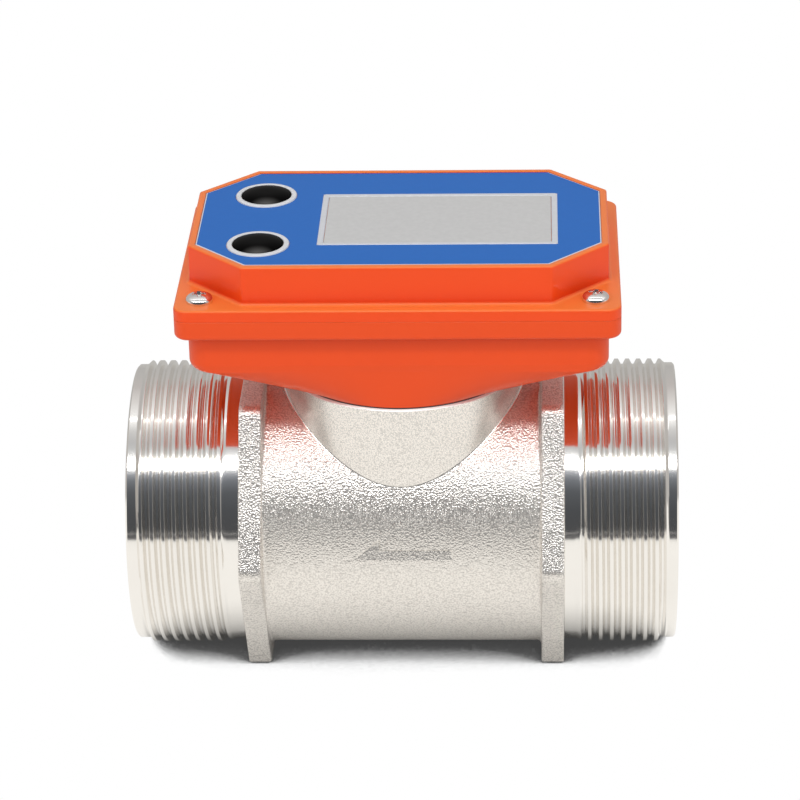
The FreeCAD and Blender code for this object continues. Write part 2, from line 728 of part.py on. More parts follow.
def build_meter_body():
    """Cast barrel with two hexagons, turned thread lands, a stepped bore and a round neck."""
    body = start_body("meter_body")
    half = [("0", "0"), ("0", "barrel_radius"), ("hexagon_face", "barrel_radius"),
            ("hexagon_face", "relief_radius"), ("thread_start", "relief_radius"),
            ("thread_start", "thread_radius"), ("thread_end", "thread_radius"),
            ("thread_end", "land_radius"), ("half_length", "land_radius"), ("half_length", "0")]
    left = [("-" + x, y) for x, y in reversed(half[2:])]
    turned(body, outline(new_sketch(body, "XZ_Plane"), left + half[2:]))

    corners = [("hexagon_reach", "0"), ("hexagon_half_reach", "hexagon_flat"),
               ("-hexagon_half_reach", "hexagon_flat"), ("-hexagon_reach", "0"),
               ("-hexagon_half_reach", "-hexagon_flat"), ("hexagon_half_reach", "-hexagon_flat")]
    outermost = 0.99 * amount("hexagon_reach")
    for level, reverse in (("barrel_half_length", False), ("-barrel_half_length", True)):
        pad(body, outline(new_sketch(body, "YZ_Plane", level), corners), "hexagon_thickness", reverse)
        side = -1 if reverse else 1
        rounded(body, "hexagon_round", lambda edge: runs_along(edge, V(1, 0, 0))
                and side * edge.CenterOfMass.x > amount("barrel_half_length")
                and math.hypot(edge.CenterOfMass.y, edge.CenterOfMass.z) > outermost)

    pad(body, circle(new_sketch(body, "XY_Plane"), "neck_radius"), "neck_top")

    bore = [("0", "chamber_radius"), ("chamber_half_length", "chamber_radius"),
            ("chamber_half_length", "bore_radius"), ("groove_start", "bore_radius"),
            ("groove_start", "groove_radius"), ("groove_end", "groove_radius"),
            ("groove_end", "bore_radius"), ("mouth_start", "bore_radius"),
            ("half_length", "mouth_radius"), ("half_length", "0")]
    left = [("-" + x, y) for x, y in reversed(bore[1:])]
    turned(body, outline(new_sketch(body, "XZ_Plane"), left + bore[1:]), cut=True)

    pocket(body, circle(new_sketch(body, "XY_Plane", "neck_top"), "neck_recess_radius"), "neck_recess_depth")
    pocket(body, circle(new_sketch(body, "XY_Plane", "recess_floor"), "well_radius"), "well_depth")
    tapped = circle(new_sketch(body, "XY_Plane", "neck_top"), "neck_screw_tapped", "neck_screw_reach",
                    "neck_screw_reach")
    mirrored(body, [pocket(body, tapped, "neck_screw_depth")], ["YZ_Plane", "XZ_Plane"], False)


# ---------------------------------------------------------------------------------------------
# Inside the bore
# ---------------------------------------------------------------------------------------------

def build_flow_straightener(label, side):
    """Hub with a round-tipped nose, radial vanes and a rim; side is 1 at the inlet, -1 at the outlet."""
    body = start_body(label)
    sign = "" if side > 0 else "-"

    def along(name):
        return sign + name

    hub = [(along("hub_face"), "0"), (along("hub_face"), "hub_radius"),
           (along("hub_shoulder"), "hub_radius"), (along("nose_turn"), "nose_turn_radius"),
           (along("nose_tip"), "0")]
    turned(body, outline(new_sketch(body, "XZ_Plane"), hub, {3: ("nose_round", -side)}))
    rim = [(along("chamber_half_length"), "straightener_bore"), (along("groove_start"), "straightener_bore"),
           (along("groove_start"), "straightener_radius"),
           (along("chamber_half_length"), "straightener_radius")]
    turned(body, outline(new_sketch(body, "XZ_Plane"), rim))
    vane = [(along("vane_start"), "vane_inner"), (along("vane_end"), "vane_inner"),
            (along("vane_end"), "vane_outer"), (along("vane_start"), "vane_outer")]
    first = pad(body, outline(new_sketch(body, "XZ_Plane"), vane), "vane_thickness", both_ways=True)
    around(body, [first], "X_Axis", "vane_count", True)
    socket = [(along("hub_face"), "0"), (along("shaft_socket_end"), "0"),
              (along("shaft_socket_end"), "shaft_socket_radius"), (along("hub_face"), "shaft_socket_radius")]
    turned(body, outline(new_sketch(body, "XZ_Plane"), socket), cut=True)


def build_retaining_ring(label, side):
    """Open spring ring with two pierced lugs, in the groove behind a straightener."""
    body = start_body(label)
    reverse = side < 0
    level = "-groove_start" if reverse else "groove_start"
    blank = circle(circle(new_sketch(body, "YZ_Plane", level), "ring_outer"), "ring_inner")
    pad(body, blank, "ring_thickness", reverse)
    lugs = new_sketch(body, "YZ_Plane", level)
    for x in ("lug_spread", "-lug_spread"):
        circle(lugs, "lug_radius", x, "-lug_drop")
    pad(body, lugs, "ring_thickness", reverse)
    gap = [("-ring_gap_half", "-ring_outer"), ("ring_gap_half", "-ring_outer"),
           ("ring_gap_half", "0"), ("-ring_gap_half", "0")]
    pocket(body, outline(new_sketch(body, "YZ_Plane", level), gap), "ring_thickness", not reverse)
    holes = new_sketch(body, "YZ_Plane", level)
    for x in ("lug_spread", "-lug_spread"):
        circle(holes, "lug_hole_radius", x, "-lug_drop")
    pocket(body, holes, "ring_thickness", not reverse)


def build_turbine_rotor():
    """Hub with helical blades, bored for its bush and drilled for two magnets."""
    body = start_body("turbine_rotor")
    hub = [("-rotor_half_length", "rotor_bore"), ("rotor_half_length", "rotor_bore"),
           ("rotor_half_length", "rotor_face_radius"), ("rotor_shoulder", "hub_radius"),
           ("-rotor_shoulder", "hub_radius"), ("-rotor_half_length", "rotor_face_radius")]
    turned(body, outline(new_sketch(body, "XZ_Plane"), hub))
    section = [("-blade_half_thickness", "blade_root"), ("blade_half_thickness", "blade_root"),
               ("blade_half_thickness", "blade_tip"), ("-blade_half_thickness", "blade_tip")]
    blade = body.newObject("PartDesign::AdditiveHelix", "rotor_blade")
    blade.Profile = outline(new_sketch(body, "YZ_Plane", "blade_start"), section)
    blade.ReferenceAxis = (origin_feature(body, "X_Axis"), [""])
    blade.Mode = "pitch-height-angle"
    bind(blade, Pitch="blade_lead", Height="blade_length")
    finish_feature(body, blade, True)
    around(body, [blade], "X_Axis", "blade_count", True)
    hole = pocket(body, circle(new_sketch(body, "XY_Plane", "hub_radius"), "magnet_hole_radius"),
                  "magnet_hole_depth")
    around(body, [hole], "X_Axis", 2, False)


def build_sleeve(label, start, length, outer, inner, both_ends=False):
    """A plain ring about the pipe axis, or the same ring at both ends."""
    body = start_body(label)
    ring = pad(body, circle(circle(new_sketch(body, "YZ_Plane", start), outer), inner), length)
    if both_ends:
        mirrored(body, [ring], ["YZ_Plane"], True)


def build_rotor_shaft():
    body = start_body("rotor_shaft")
    profile = [("-shaft_end", "0"), ("shaft_end", "0"), ("shaft_end", "shaft_radius"),
               ("-shaft_end", "shaft_radius")]
    turned(body, outline(new_sketch(body, "XZ_Plane"), profile))


def build_rotor_magnets():
    body = start_body("rotor_magnets")
    magnet = pad(body, circle(new_sketch(body, "XY_Plane", "magnet_foot"), "magnet_radius"), "magnet_length")
    mirrored(body, [magnet], ["XY_Plane"], True)


# ---------------------------------------------------------------------------------------------
# Neck: pickup, seal and screws
# ---------------------------------------------------------------------------------------------

def build_pickup():
    body = start_body("pickup_sensor")
    pad(body, circle(new_sketch(body, "XY_Plane", "well_floor"), "sensor_radius"), "sensor_length")
    body = start_body("pickup_leads")
    leads = new_sketch(body, "XY_Plane", "sensor_top")
    for x in ("-lead_pitch", "0", "lead_pitch"):
        circle(leads, "lead_radius", x)
    pad(body, leads, "lead_length")


def build_neck_seal():
    """Square-section ring between the housing's spigot and the neck's recess."""
    body = start_body("neck_seal")
    section = [("seal_inner", "seal_low"), ("seal_outer", "seal_low"), ("seal_outer", "seal_high"),
               ("seal_inner", "seal_high")]
    turned(body, outline(new_sketch(body, "XZ_Plane"), section), "V_Axis")


def flat_screw(sketch, radius, tip, seat, head, top):
    """Half section of a screw about its own axis: shank, seat and a flat-topped head."""
    return outline(sketch, [("0", tip), (radius, tip), (radius, seat), (head, seat), (head, top), ("0", top)])


def build_neck_screws():
    """Four screws from inside the housing down into the neck, on its diagonals."""
    body = start_body("neck_screws")
    sketch = new_sketch(body, "XZ_Plane", "neck_screw_reach", ("neck_screw_reach", "0"))
    flat_screw(sketch, "neck_screw_radius", "neck_screw_tip", "floor_level", "neck_screw_head",
               "neck_screw_crown")
    mirrored(body, [turned(body, sketch, "V_Axis")], ["YZ_Plane", "XZ_Plane"], True)


# ---------------------------------------------------------------------------------------------
# Housing
# ---------------------------------------------------------------------------------------------

def build_lower_housing():
    """Moulded bowl: a round collar swells into a box with rounded lower edges and a flange."""
    body = start_body("lower_housing")
    pad(body, circle(new_sketch(body, "XY_Plane", "neck_top"), "collar_radius"), "collar_height")
    sections = [split_circle(new_sketch(body, "XY_Plane", "swell_level"), "collar_radius",
                             "collar_near_x", "collar_far_x")]
    for step in ("edge", "turn", "box"):
        section = new_sketch(body, "XY_Plane", step + "_level")
        sections.append(rounded_rectangle(section, step + "_half_length", step + "_half_width", "box_corner"))
    loft(body, sections)
    box = rounded_rectangle(new_sketch(body, "XY_Plane", "box_level"), "box_half_length",
                            "box_half_width", "box_corner")
    pad(body, box, "box_height")
    flange = rounded_rectangle(new_sketch(body, "XY_Plane", "flange_level"), "flange_half_length",
                               "flange_half_width", "flange_corner")
    pad(body, flange, "flange_depth")
    beyond_x = (amount("box_half_length") + amount("flange_half_length")) / 2
    beyond_y = (amount("box_half_width") + amount("flange_half_width")) / 2
    rounded(body, "flange_edge_round", lambda edge: lies_at(edge, amount("flange_level"))
            and (abs(edge.CenterOfMass.x) > beyond_x or abs(edge.CenterOfMass.y) > beyond_y))

    loft(body, [
        split_circle(new_sketch(body, "XY_Plane", "floor_level"), "cavity_radius", "cavity_near_x",
                     "cavity_far_x"),
        rounded_rectangle(new_sketch(body, "XY_Plane", "cavity_level"), "cavity_half_length",
                          "cavity_half_width", "cavity_corner"),
    ], cut=True)
    mouth = rounded_rectangle(new_sketch(body, "XY_Plane", "parting_level"), "cavity_half_length",
                              "cavity_half_width", "cavity_corner")
    pocket(body, mouth, "cavity_height")
    channel = new_sketch(body, "XY_Plane", "parting_level")
    rounded_rectangle(channel, "groove_half_length", "groove_half_width", "gasket_corner")
    rounded_rectangle(channel, "groove_inner_half_length", "groove_inner_half_width", "gasket_inner_corner")
    pocket(body, channel, "gasket_height")

    pad(body, circle(new_sketch(body, "XY_Plane", "neck_top"), "spigot_radius"), "spigot_depth", reverse=True)
    channel = [("seal_groove_radius", "seal_groove_low"), ("neck_recess_radius", "seal_groove_low"),
               ("neck_recess_radius", "seal_groove_high"), ("seal_groove_radius", "seal_groove_high")]
    turned(body, outline(new_sketch(body, "XZ_Plane"), channel), "V_Axis", cut=True)
    posts = new_sketch(body, "XY_Plane", "floor_level")
    for x in ("post_x", "-post_x"):
        circle(posts, "post_radius", x)
    pad(body, posts, "post_height")
    holes = new_sketch(body, "XY_Plane", "post_top")
    for x in ("post_x", "-post_x"):
        circle(holes, "small_screw_tapped", x)
    pocket(body, holes, "post_hole_depth")
    drilled = circle(new_sketch(body, "XY_Plane", "floor_level"), "sensor_hole_radius")
    pocket(body, drilled, "floor_thickness + spigot_depth")
    corner = circle(new_sketch(body, "XY_Plane", "parting_level", ("cover_screw_x", "cover_screw_y")),
                    "cover_screw_tapped")
    mirrored(body, [pocket(body, corner, "cover_screw_depth")], ["YZ_Plane", "XZ_Plane"], False)
    hole = circle(new_sketch(body, "XY_Plane", "floor_level"), "neck_screw_hole", "neck_screw_reach",
                  "neck_screw_reach")
    mirrored(body, [pocket(body, hole, "floor_thickness")], ["YZ_Plane", "XZ_Plane"], False)


def build_housing_gasket():
    body = start_body("housing_gasket")
    sketch = new_sketch(body, "XY_Plane", "gasket_floor")
    rounded_rectangle(sketch, "gasket_half_length", "gasket_half_width", "gasket_corner")
    rounded_rectangle(sketch, "gasket_inner_half_length", "gasket_inner_half_width", "gasket_inner_corner")
    pad(body, sketch, "gasket_height")


def build_upper_cover():
    """Moulded lid: a flange and an eight-sided hollow platform with a recess for the label."""
    body = start_body("upper_cover")
    flange = rounded_rectangle(new_sketch(body, "XY_Plane", "parting_level"), "flange_half_length",
                               "flange_half_width", "flange_corner")
    pad(body, flange, "cover_flange")
    rounded(body, "flange_edge_round", lambda edge: lies_at(edge, amount("platform_level")))
    pad(body, octagon(new_sketch(body, "XY_Plane", "platform_level"), "platform"), "platform_height")
    rounded(body, "platform_corner_round", lambda edge: runs_along(edge, V(0, 0, 1))
            and edge.CenterOfMass.z > amount("platform_level"))
    rounded(body, "platform_rim_round", lambda edge: lies_at(edge, amount("platform_top")))
    pocket(body, octagon(new_sketch(body, "XY_Plane", "platform_top"), "recess"), "recess_depth")
    pocket(body, octagon(new_sketch(body, "XY_Plane", "parting_level"), "hollow"), "hollow_height", True)

    bosses = circle(new_sketch(body, "XY_Plane", "board_top", ("boss_x", "boss_y")), "boss_radius")
    first = pad(body, bosses, "board_drop")
    mirrored(body, [first], ["YZ_Plane", "XZ_Plane"], True)
    holes = circle(new_sketch(body, "XY_Plane", "board_top", ("boss_x", "boss_y")), "small_screw_tapped")
    first = pocket(body, holes, "board_screw_hole_depth", True)
    mirrored(body, [first], ["YZ_Plane", "XZ_Plane"], False)

    opening = new_sketch(body, "XY_Plane", "recess_level", ("window_x", "face_y"))
    pocket(body, rectangle(opening, "opening_half_length", "opening_half_width"), "cover_roof")
    holes = new_sketch(body, "XY_Plane", "recess_level")
    for y in ("mode_button_y", "reset_button_y"):
        circle(holes, "button_hole", "button_x", y)
    pocket(body, holes, "cover_roof")
    corner = circle(new_sketch(body, "XY_Plane", "platform_level", ("cover_screw_x", "cover_screw_y")),
                    "cover_screw_hole")
    mirrored(body, [pocket(body, corner, "cover_flange")], ["YZ_Plane", "XZ_Plane"], False)


def build_cover_screws():
    """Four domed screws through the cover's corners."""
    body = start_body("cover_screws")
    sketch = new_sketch(body, "XZ_Plane", "cover_screw_y", ("cover_screw_x", "0"))
    profile = [("0", "cover_screw_tip"), ("cover_screw_radius", "cover_screw_tip"),
               ("cover_screw_radius", "cover_screw_seat"), ("cover_screw_head", "cover_screw_seat"),
               ("cover_screw_head", "cover_screw_rim"), ("0", "cover_screw_top")]
    outline(sketch, profile, {4: ("cover_screw_crown", 1)})
    mirrored(body, [turned(body, sketch, "V_Axis")], ["YZ_Plane", "XZ_Plane"], True)


# ---------------------------------------------------------------------------------------------
# Face: label, display and buttons
# ---------------------------------------------------------------------------------------------

def build_label_plate():
    body = start_body("label_plate")
    sketch = octagon(new_sketch(body, "XY_Plane", "recess_level"), "label")
    for y in ("mode_button_y", "reset_button_y"):
        circle(sketch, "button_label_hole", "button_x", y)
    pad(body, sketch, "label_thickness")
    opening = new_sketch(body, "XY_Plane", "recess_level", ("window_x", "face_y"))
    pocket(body, rectangle(opening, "label_hole_half_length", "label_hole_half_width"), "label_thickness", True)


def build_display():
    """Bezel and window on the cover, panel and its frame under it."""
    body = start_body("display_bezel", "window_x", "face_y")
    sketch = rectangle(new_sketch(body, "XY_Plane", "recess_level"), "bezel_half_length", "bezel_half_width")
    rectangle(sketch, "bezel_inner_half_length", "bezel_inner_half_width")
    pad(body, sketch, "bezel_thickness")

    body = start_body("display_window", "window_x", "face_y")
    sketch = rectangle(new_sketch(body, "XY_Plane", "recess_level"), "window_half_length", "window_half_width")
    pad(body, sketch, "window_thickness")

    body = start_body("lcd_panel", "window_x", "face_y")
    sketch = rectangle(new_sketch(body, "XY_Plane", "panel_level"), "panel_half_length", "panel_half_width")
    pad(body, sketch, "panel_thickness")
    sketch = rectangle(new_sketch(body, "XY_Plane", "panel_top"), "glass_half_length", "glass_half_width")
    pad(body, sketch, "glass_height")

    body = start_body("lcd_holder", "window_x", "face_y")
    sketch = rectangle(new_sketch(body, "XY_Plane", "board_top"), "panel_half_length", "panel_half_width")
    rectangle(sketch, "holder_inner_half_length", "holder_inner_half_width")
    pad(body, sketch, "display_holder_height")


def build_button_bezels():
    body = start_body("button_bezels", "button_x", "face_y")
    ring = new_sketch(body, "XY_Plane", "recess_level", ("0", "button_half_pitch"))
    circle(circle(ring, "button_ring_radius"), "button_hole")
    mirrored(body, [pad(body, ring, "bezel_thickness")], ["XZ_Plane"], True)


def build_button(name, y):
    """Domed cap with a flange that holds it under the roof and a stem on the switch plunger."""
    body = start_body(name + "_button", "button_x", y)
    profile = [("0", "button_foot"), ("button_stem", "button_foot"), ("button_stem", "button_flange_bottom"),
               ("button_flange_radius", "button_flange_bottom"), ("button_flange_radius", "button_flange_top"),
               ("button_radius", "button_flange_top"), ("button_radius", "button_shoulder"),
               ("0", "button_top")]
    turned(body, outline(new_sketch(body, "XZ_Plane"), profile, {6: ("button_dome", 1)}), "V_Axis")

    body = start_body(name + "_switch_plunger", "button_x", y)
    pad(body, circle(new_sketch(body, "XY_Plane", "plunger_foot"), "plunger_radius"), "plunger_length")


def build_tact_switches():
    body = start_body("tact_switches", "button_x", "face_y")
    base = new_sketch(body, "XY_Plane", "board_top", ("0", "button_half_pitch"))
    block = pad(body, rectangle(base, "switch_half", "switch_half"), "switch_height")
    mirrored(body, [block], ["XZ_Plane"], True)
    well = new_sketch(body, "XY_Plane", "switch_top", ("0", "button_half_pitch"))
    hole = pocket(body, circle(well, "switch_well"), "switch_well_depth")
    mirrored(body, [hole], ["XZ_Plane"], False)


def build_circuit_board():
    body = start_body("circuit_board")
    pad(body, octagon(new_sketch(body, "XY_Plane", "board_bottom"), "board"), "board_thickness")
    hole = circle(new_sketch(body, "XY_Plane", "board_top", ("boss_x", "boss_y")), "small_screw_hole")
    first = pocket(body, hole, "board_thickness")
    mirrored(body, [first], ["YZ_Plane", "XZ_Plane"], False)


def build_board_screws():
    body = start_body("board_screws")
    sketch = new_sketch(body, "XZ_Plane", "boss_y", ("boss_x", "0"))
    flat_screw(sketch, "small_screw_radius", "board_screw_top", "board_bottom", "small_screw_head",
               "board_screw_head_bottom")
    mirrored(body, [turned(body, sketch, "V_Axis")], ["YZ_Plane", "XZ_Plane"], True)


# ---------------------------------------------------------------------------------------------
# Battery compartment
# ---------------------------------------------------------------------------------------------

def build_battery_holder():
    """Tray with two troughs and a low web between them, screwed to two posts."""
    body = start_body("battery_holder")
    block = rectangle(new_sketch(body, "XY_Plane", "holder_level"), "holder_half_length", "holder_half_width")
    pad(body, block, "holder_height")
    for y in ("cell_y", "-cell_y"):
        trough = new_sketch(body, "XY_Plane", "holder_top", ("0", y))
        pocket(body, rectangle(trough, "trough_half_length", "trough_half_width"), "trough_depth")
    web = rectangle(new_sketch(body, "XY_Plane", "holder_top"), "trough_half_length", "web_half_width")
    pocket(body, web, "web_depth")
    pocket(body, rectangle(new_sketch(body, "XY_Plane", "web_top"), "slot_half", "slot_half"), "holder_web")
    holes = new_sketch(body, "XY_Plane", "web_top")
    for x in ("post_x", "-post_x"):
        circle(holes, "small_screw_hole", x)
    pocket(body, holes, "holder_web")


def build_holder_screws():
    body = start_body("holder_screws")
    sketch = new_sketch(body, "XZ_Plane", "0", ("post_x", "0"))
    flat_screw(sketch, "small_screw_radius", "holder_screw_tip", "web_top", "small_screw_head",
               "holder_screw_top")
    mirrored(body, [turned(body, sketch, "V_Axis")], ["YZ_Plane"], True)


def build_battery_cells():
    """Two cells lying opposite ways round."""
    body = start_body("battery_cells")
    for y, front, back in (("cell_y", "", "-"), ("-cell_y", "-", "")):
        profile = [(back + "cell_end", "0"), (front + "cell_end", "0"), (front + "cell_end", "cell_tip_radius"),
                   (front + "cell_shoulder", "cell_tip_radius"), (front + "cell_shoulder", "cell_radius"),
                   (back + "cell_end", "cell_radius")]
        turned(body, outline(new_sketch(body, "XZ_Plane", y, ("0", "cell_level")), profile))


def build_battery_contacts():
    """Four plates at the trough ends, each with a cone that reaches its cell."""
    body = start_body("battery_contacts")
    plate = new_sketch(body, "YZ_Plane", "contact_face", ("cell_y", "trough_level"))
    corners = [("-contact_half", "0"), ("contact_half", "0"), ("contact_half", "contact_height"),
               ("-contact_half", "contact_height")]
    first = pad(body, outline(plate, corners), "contact_thickness")
    button = circle(new_sketch(body, "YZ_Plane", "contact_face", ("cell_y", "cell_level")), "cell_tip_radius")
    second = pad(body, button, "contact_reach", reverse=True)
    mirrored(body, [first, second], ["YZ_Plane", "XZ_Plane"], True)


def build_battery_leads():
    body = start_body("battery_leads")
    lead = circle(new_sketch(body, "XY_Plane", "holder_top", ("battery_lead_x", "battery_lead_y")),
                  "battery_lead_radius")
    mirrored(body, [pad(body, lead, "battery_lead_length")], ["XZ_Plane"], True)


build_meter_body()
build_flow_straightener("inlet_flow_straightener", 1)
build_flow_straightener("outlet_flow_straightener", -1)
build_retaining_ring("inlet_retaining_ring", 1)
build_retaining_ring("outlet_retaining_ring", -1)
build_rotor_shaft()
build_turbine_rotor()
build_sleeve("rotor_bush", "-rotor_half_length", "rotor_length", "bush_outer", "bush_inner")
build_sleeve("thrust_washers", "washer_start", "washer_thickness", "washer_radius", "washer_bore", True)
build_rotor_magnets()
build_pickup()
build_neck_seal()
build_neck_screws()
build_lower_housing()
build_housing_gasket()
build_upper_cover()
build_cover_screws()
build_label_plate()
build_display()
build_button_bezels()
build_button("mode", "mode_button_y")
build_button("reset", "reset_button_y")
build_tact_switches()
build_circuit_board()
build_board_screws()
build_battery_holder()
build_holder_screws()
build_battery_cells()
build_battery_contacts()
build_battery_leads()

doc.recompute()
for item in doc.Objects:
    if "Invalid" in item.State or "Error" in item.State:
        raise RuntimeError(f"{item.Name} failed: {item.State}")
for part in PARTS:
    if part.Shape.isNull() or not part.Shape.isValid():
        raise RuntimeError(f"{part.Label} has no valid shape")

os.makedirs("parts", exist_ok=True)
for part in PARTS:
    part.Shape.exportStep(f"parts/{part.Label}.step")
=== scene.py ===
"""Looks of the turbine flow meter: steel pipe body, orange display head, studio.

Lamps, camera and materials are in metres. Outlines of pieces are in millimetres about the pipe axis, X
along the pipe and Z up, and new_piece brings them to metres in the frame.
"""

import json
import math

import bmesh
import bpy
import numpy as np
from mathutils import Matrix, Vector


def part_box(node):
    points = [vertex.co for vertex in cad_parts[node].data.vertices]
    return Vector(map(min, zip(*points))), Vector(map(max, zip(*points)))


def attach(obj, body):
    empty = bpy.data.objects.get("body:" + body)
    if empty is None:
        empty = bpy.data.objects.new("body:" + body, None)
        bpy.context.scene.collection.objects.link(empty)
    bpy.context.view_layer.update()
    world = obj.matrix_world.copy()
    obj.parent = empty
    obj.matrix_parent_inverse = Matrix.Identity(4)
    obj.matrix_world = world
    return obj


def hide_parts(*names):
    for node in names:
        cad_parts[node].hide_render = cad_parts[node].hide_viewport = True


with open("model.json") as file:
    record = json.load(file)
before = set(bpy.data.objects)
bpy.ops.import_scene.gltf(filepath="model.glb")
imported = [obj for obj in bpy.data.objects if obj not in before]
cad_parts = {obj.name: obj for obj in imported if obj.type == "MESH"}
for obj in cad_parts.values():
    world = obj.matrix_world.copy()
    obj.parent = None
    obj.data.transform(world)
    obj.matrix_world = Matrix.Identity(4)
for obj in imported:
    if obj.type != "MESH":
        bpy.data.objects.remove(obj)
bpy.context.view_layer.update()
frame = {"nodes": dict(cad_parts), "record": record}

MM = 0.001
record = frame["record"]
mounts = {mount["name"]: mount for mount in record["mounts"]}
AXIS_HEIGHT = mounts["inlet_thread"]["pos_m"][2]


def box_mm(name):
    """Lowest and highest corner of a CAD node, in millimetres about the pipe axis."""
    low, high = (np.array(corner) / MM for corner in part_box(name))
    lift = np.array([0, 0, AXIS_HEIGHT / MM])
    return low - lift, high - lift


# ---- Sizes, in millimetres ------------------------------------------------------------------

body_low, body_high = box_mm("meter_body")
sensor_low, sensor_high = box_mm("pickup_sensor")
ring_low, ring_high = box_mm("inlet_retaining_ring")
housing_high = box_mm("lower_housing")[1]
label_low = box_mm("label_plate")[0]

# Casting
HALF_LENGTH, NECK_TOP = body_high[0], body_high[2]
CREST = mounts["inlet_thread"]["dims"]["r_mm"]
BARREL = CREST - 0.2
INNER_SKIN = 27.6             # inside of the casting, behind the machined bore
FLAT = AXIS_HEIGHT / MM       # from the axis to a flat of the hexagon
HEX_WIDTH = 4.7
HEX_START = mounts["base"]["pos_m"][0] / MM - HEX_WIDTH / 2
HEX_END = HEX_START + HEX_WIDTH
HEX_CORNER = 2.5              # round of its six corners
HEX_FOOT, HEX_EDGE = 0.9, 0.55
HEX_SHARE = 0.45              # of its height above the barrel, the most that either round takes
HEX_CHAMFER = 0.14
HEX_GRAIN = 1.2               # above the barrel, where the hexagon's own grain starts
FACE_INSET, FACE_LIP = 0.2, 0.04  # from the hexagon's outline to the machined face, and its edge's lap
FACE_BAND = 0.1               # how far from the face the casting's finish reaches
TUCK = 0.02                   # what a piece reaches behind its neighbour's face
SET_BACK = 0.3                # from the machined face back to the casting's end

# Flow arrow, sunk into the front of the barrel: outline in X and Z, a floor that deepens upwards
ARROW = [(-10.13, 1.35), (10.25, 1.35), (10.25, 3.5), (-4.4, 3.5), (-4.4, 5.6), (-4.7, 5.6)]
ARROW_SLOPE, ARROW_DEEPEST, ARROW_WALL = 0.19, 0.55, 0.24
ARROW_ZONE, ARROW_STATIONS = 10.8, 121
BARREL_STATIONS, HEX_STATIONS = (11.4, 13.0, 20.0, 26.0), (30.0, 31.5)

# Neck: rim points run from its top face to its side, as offsets from the corner
NECK_RADIUS, NECK_FILLET = 25.0, 0.5
NECK_RIM = [(-0.44, 0.0), (-0.40, -0.02), (-0.04, -0.36), (0.0, -0.41)]
RECESS_RADIUS, RECESS_FLOOR, RECESS_LEAD = 15.0, 29.3, 0.3
NECK_SUNK, NECK_CLOSED = INNER_SKIN + 0.2, INNER_SKIN - 0.8  # pipes that its lowest rings lie on
NECK_LOWER = (20.0, 12.0, 5.0)  # radii of the rings that close it inside the barrel
WELL_RADIUS, WELL_FLOOR = sensor_high[0] + 0.1, sensor_low[2]
PIN_HOLE = 0.4                # radius of the small ring that closes a surface at its middle

# Machined ends, from the hexagon's face: relief, thread, land, mouth, bore and the sleeve's back
PITCH, THREAD_CREST, THREAD_ROOT, THREAD_ROUND = 2.309, 0.72, 0.46, 0.09
FLANK = 27.5                  # degrees, half the angle between flanks
RELIEF_END, THREAD_END = 35.4, 54.5
RELIEF, LAND, RELIEF_CHAMFER = CREST - 0.6, CREST - 0.8, 0.15
LAND_CHAMFER, MOUTH_CHAMFER = 0.35, 0.8
THREAD_RUN_IN, TOP_RUN_IN = 3.4, 3.2
THREAD_RUN_OUT, TOP_RUN_OUT = 0.9, 0.8
LAND_PACE = 0.6               # of the helix's own travel, for its rings past the thread's end
WELD = 0.0005                 # distance under which points of the helix's ends become one
BORE, SEAT, SEAT_END = 25.6, 24.6, 12.0
GROOVE, GROOVE_START, GROOVE_END = 27.0, ring_low[0], ring_high[0] + 0.1
SLEEVE = [(0.0, 26.7), (26.0, 26.7), (27.0, 27.45), (32.9, 27.45)]  # X and radius of its back
SLEEVE_COLLAR = 28.4

# Display head. Outlines are half length, half width and corner.
PARTING = housing_high[2]
FLANGE = (housing_high[0], housing_high[1], 3.0)
BOX = (FLANGE[0] - 2.38, FLANGE[1] - 2.65, 4.0)
PLATFORM = (FLANGE[0] - 2.3, FLANGE[1] - 2.78, 11.45, 0.8)  # its third value is a chamfer
WALL = 2.2

# Lower housing
COLLAR, COLLAR_BEARING, COLLAR_SPREAD = 24.6, 40.0, 9.0
SEAL_SHADE_INSET = 0.05               # how far the dark seal band lies in from the collar; its black is painted shade for the gap under the collar
SEAL_SHADE_TOP, SWELL_START = NECK_TOP + 0.26, NECK_TOP + 0.32
BOX_LOW, FLANGE_LOW = 41.7, 50.2
BEND, BEND_INSET, BEND_START = 2.0, 0.4, 27
BOX_FILLET, FLANGE_ROUND = 0.5, 0.9
CAVITY_CORNER, CAVITY_LEAD, CAVITY_EDGE, CAVITY_FLOOR = 10.0, 0.01, 2.4, 3.0

# Cover
COVER_TOP = label_low[2] + 0.5
SCREW_SEAT = PARTING + 2.5    # top of the cover's flange
COVER_ROUND, PLATFORM_FOOT, PLATFORM_ROUND = 0.55, 0.8, 0.5
LABEL_BED, BED_CHAMFER, BED_LIP = 1.4, 0.15, 0.12
ROOF = 2.5
PARTING_CHAMFER = 0.05
WINDOW_EDGE, WINDOW_CORNER = 3.0, 0.5
CUT_BELOW, CUT_ABOVE = 4.0, 1.0
LABEL_BORDER = 0.22

# Buttons and the rings round them
RING_INNER, RING_OUTER, RING_PROUD = 5.2, 6.3, 0.2
RING_INNER_ROUND, RING_OUTER_ROUND = 0.2, 0.25
CAP, CAP_SKIRT, CAP_PROUD, CAP_CROWN, CAP_CURVE = 5.05, 5.9, 0.05, 0.62, 3.2
CAP_DEPTH, SKIRT_SLOPE, SKIRT_HEIGHT, STEM = 3.2, 0.1, 3.0, 2.0

# Bezel
BEZEL_WIDTH_X, BEZEL_WIDTH_Y, BEZEL_CORNER, BEZEL_INNER_CORNER = 1.15, 1.0, 0.6, 0.4
BEZEL_OVERHANG, BEZEL_CHAMFER = 0.12, 0.18

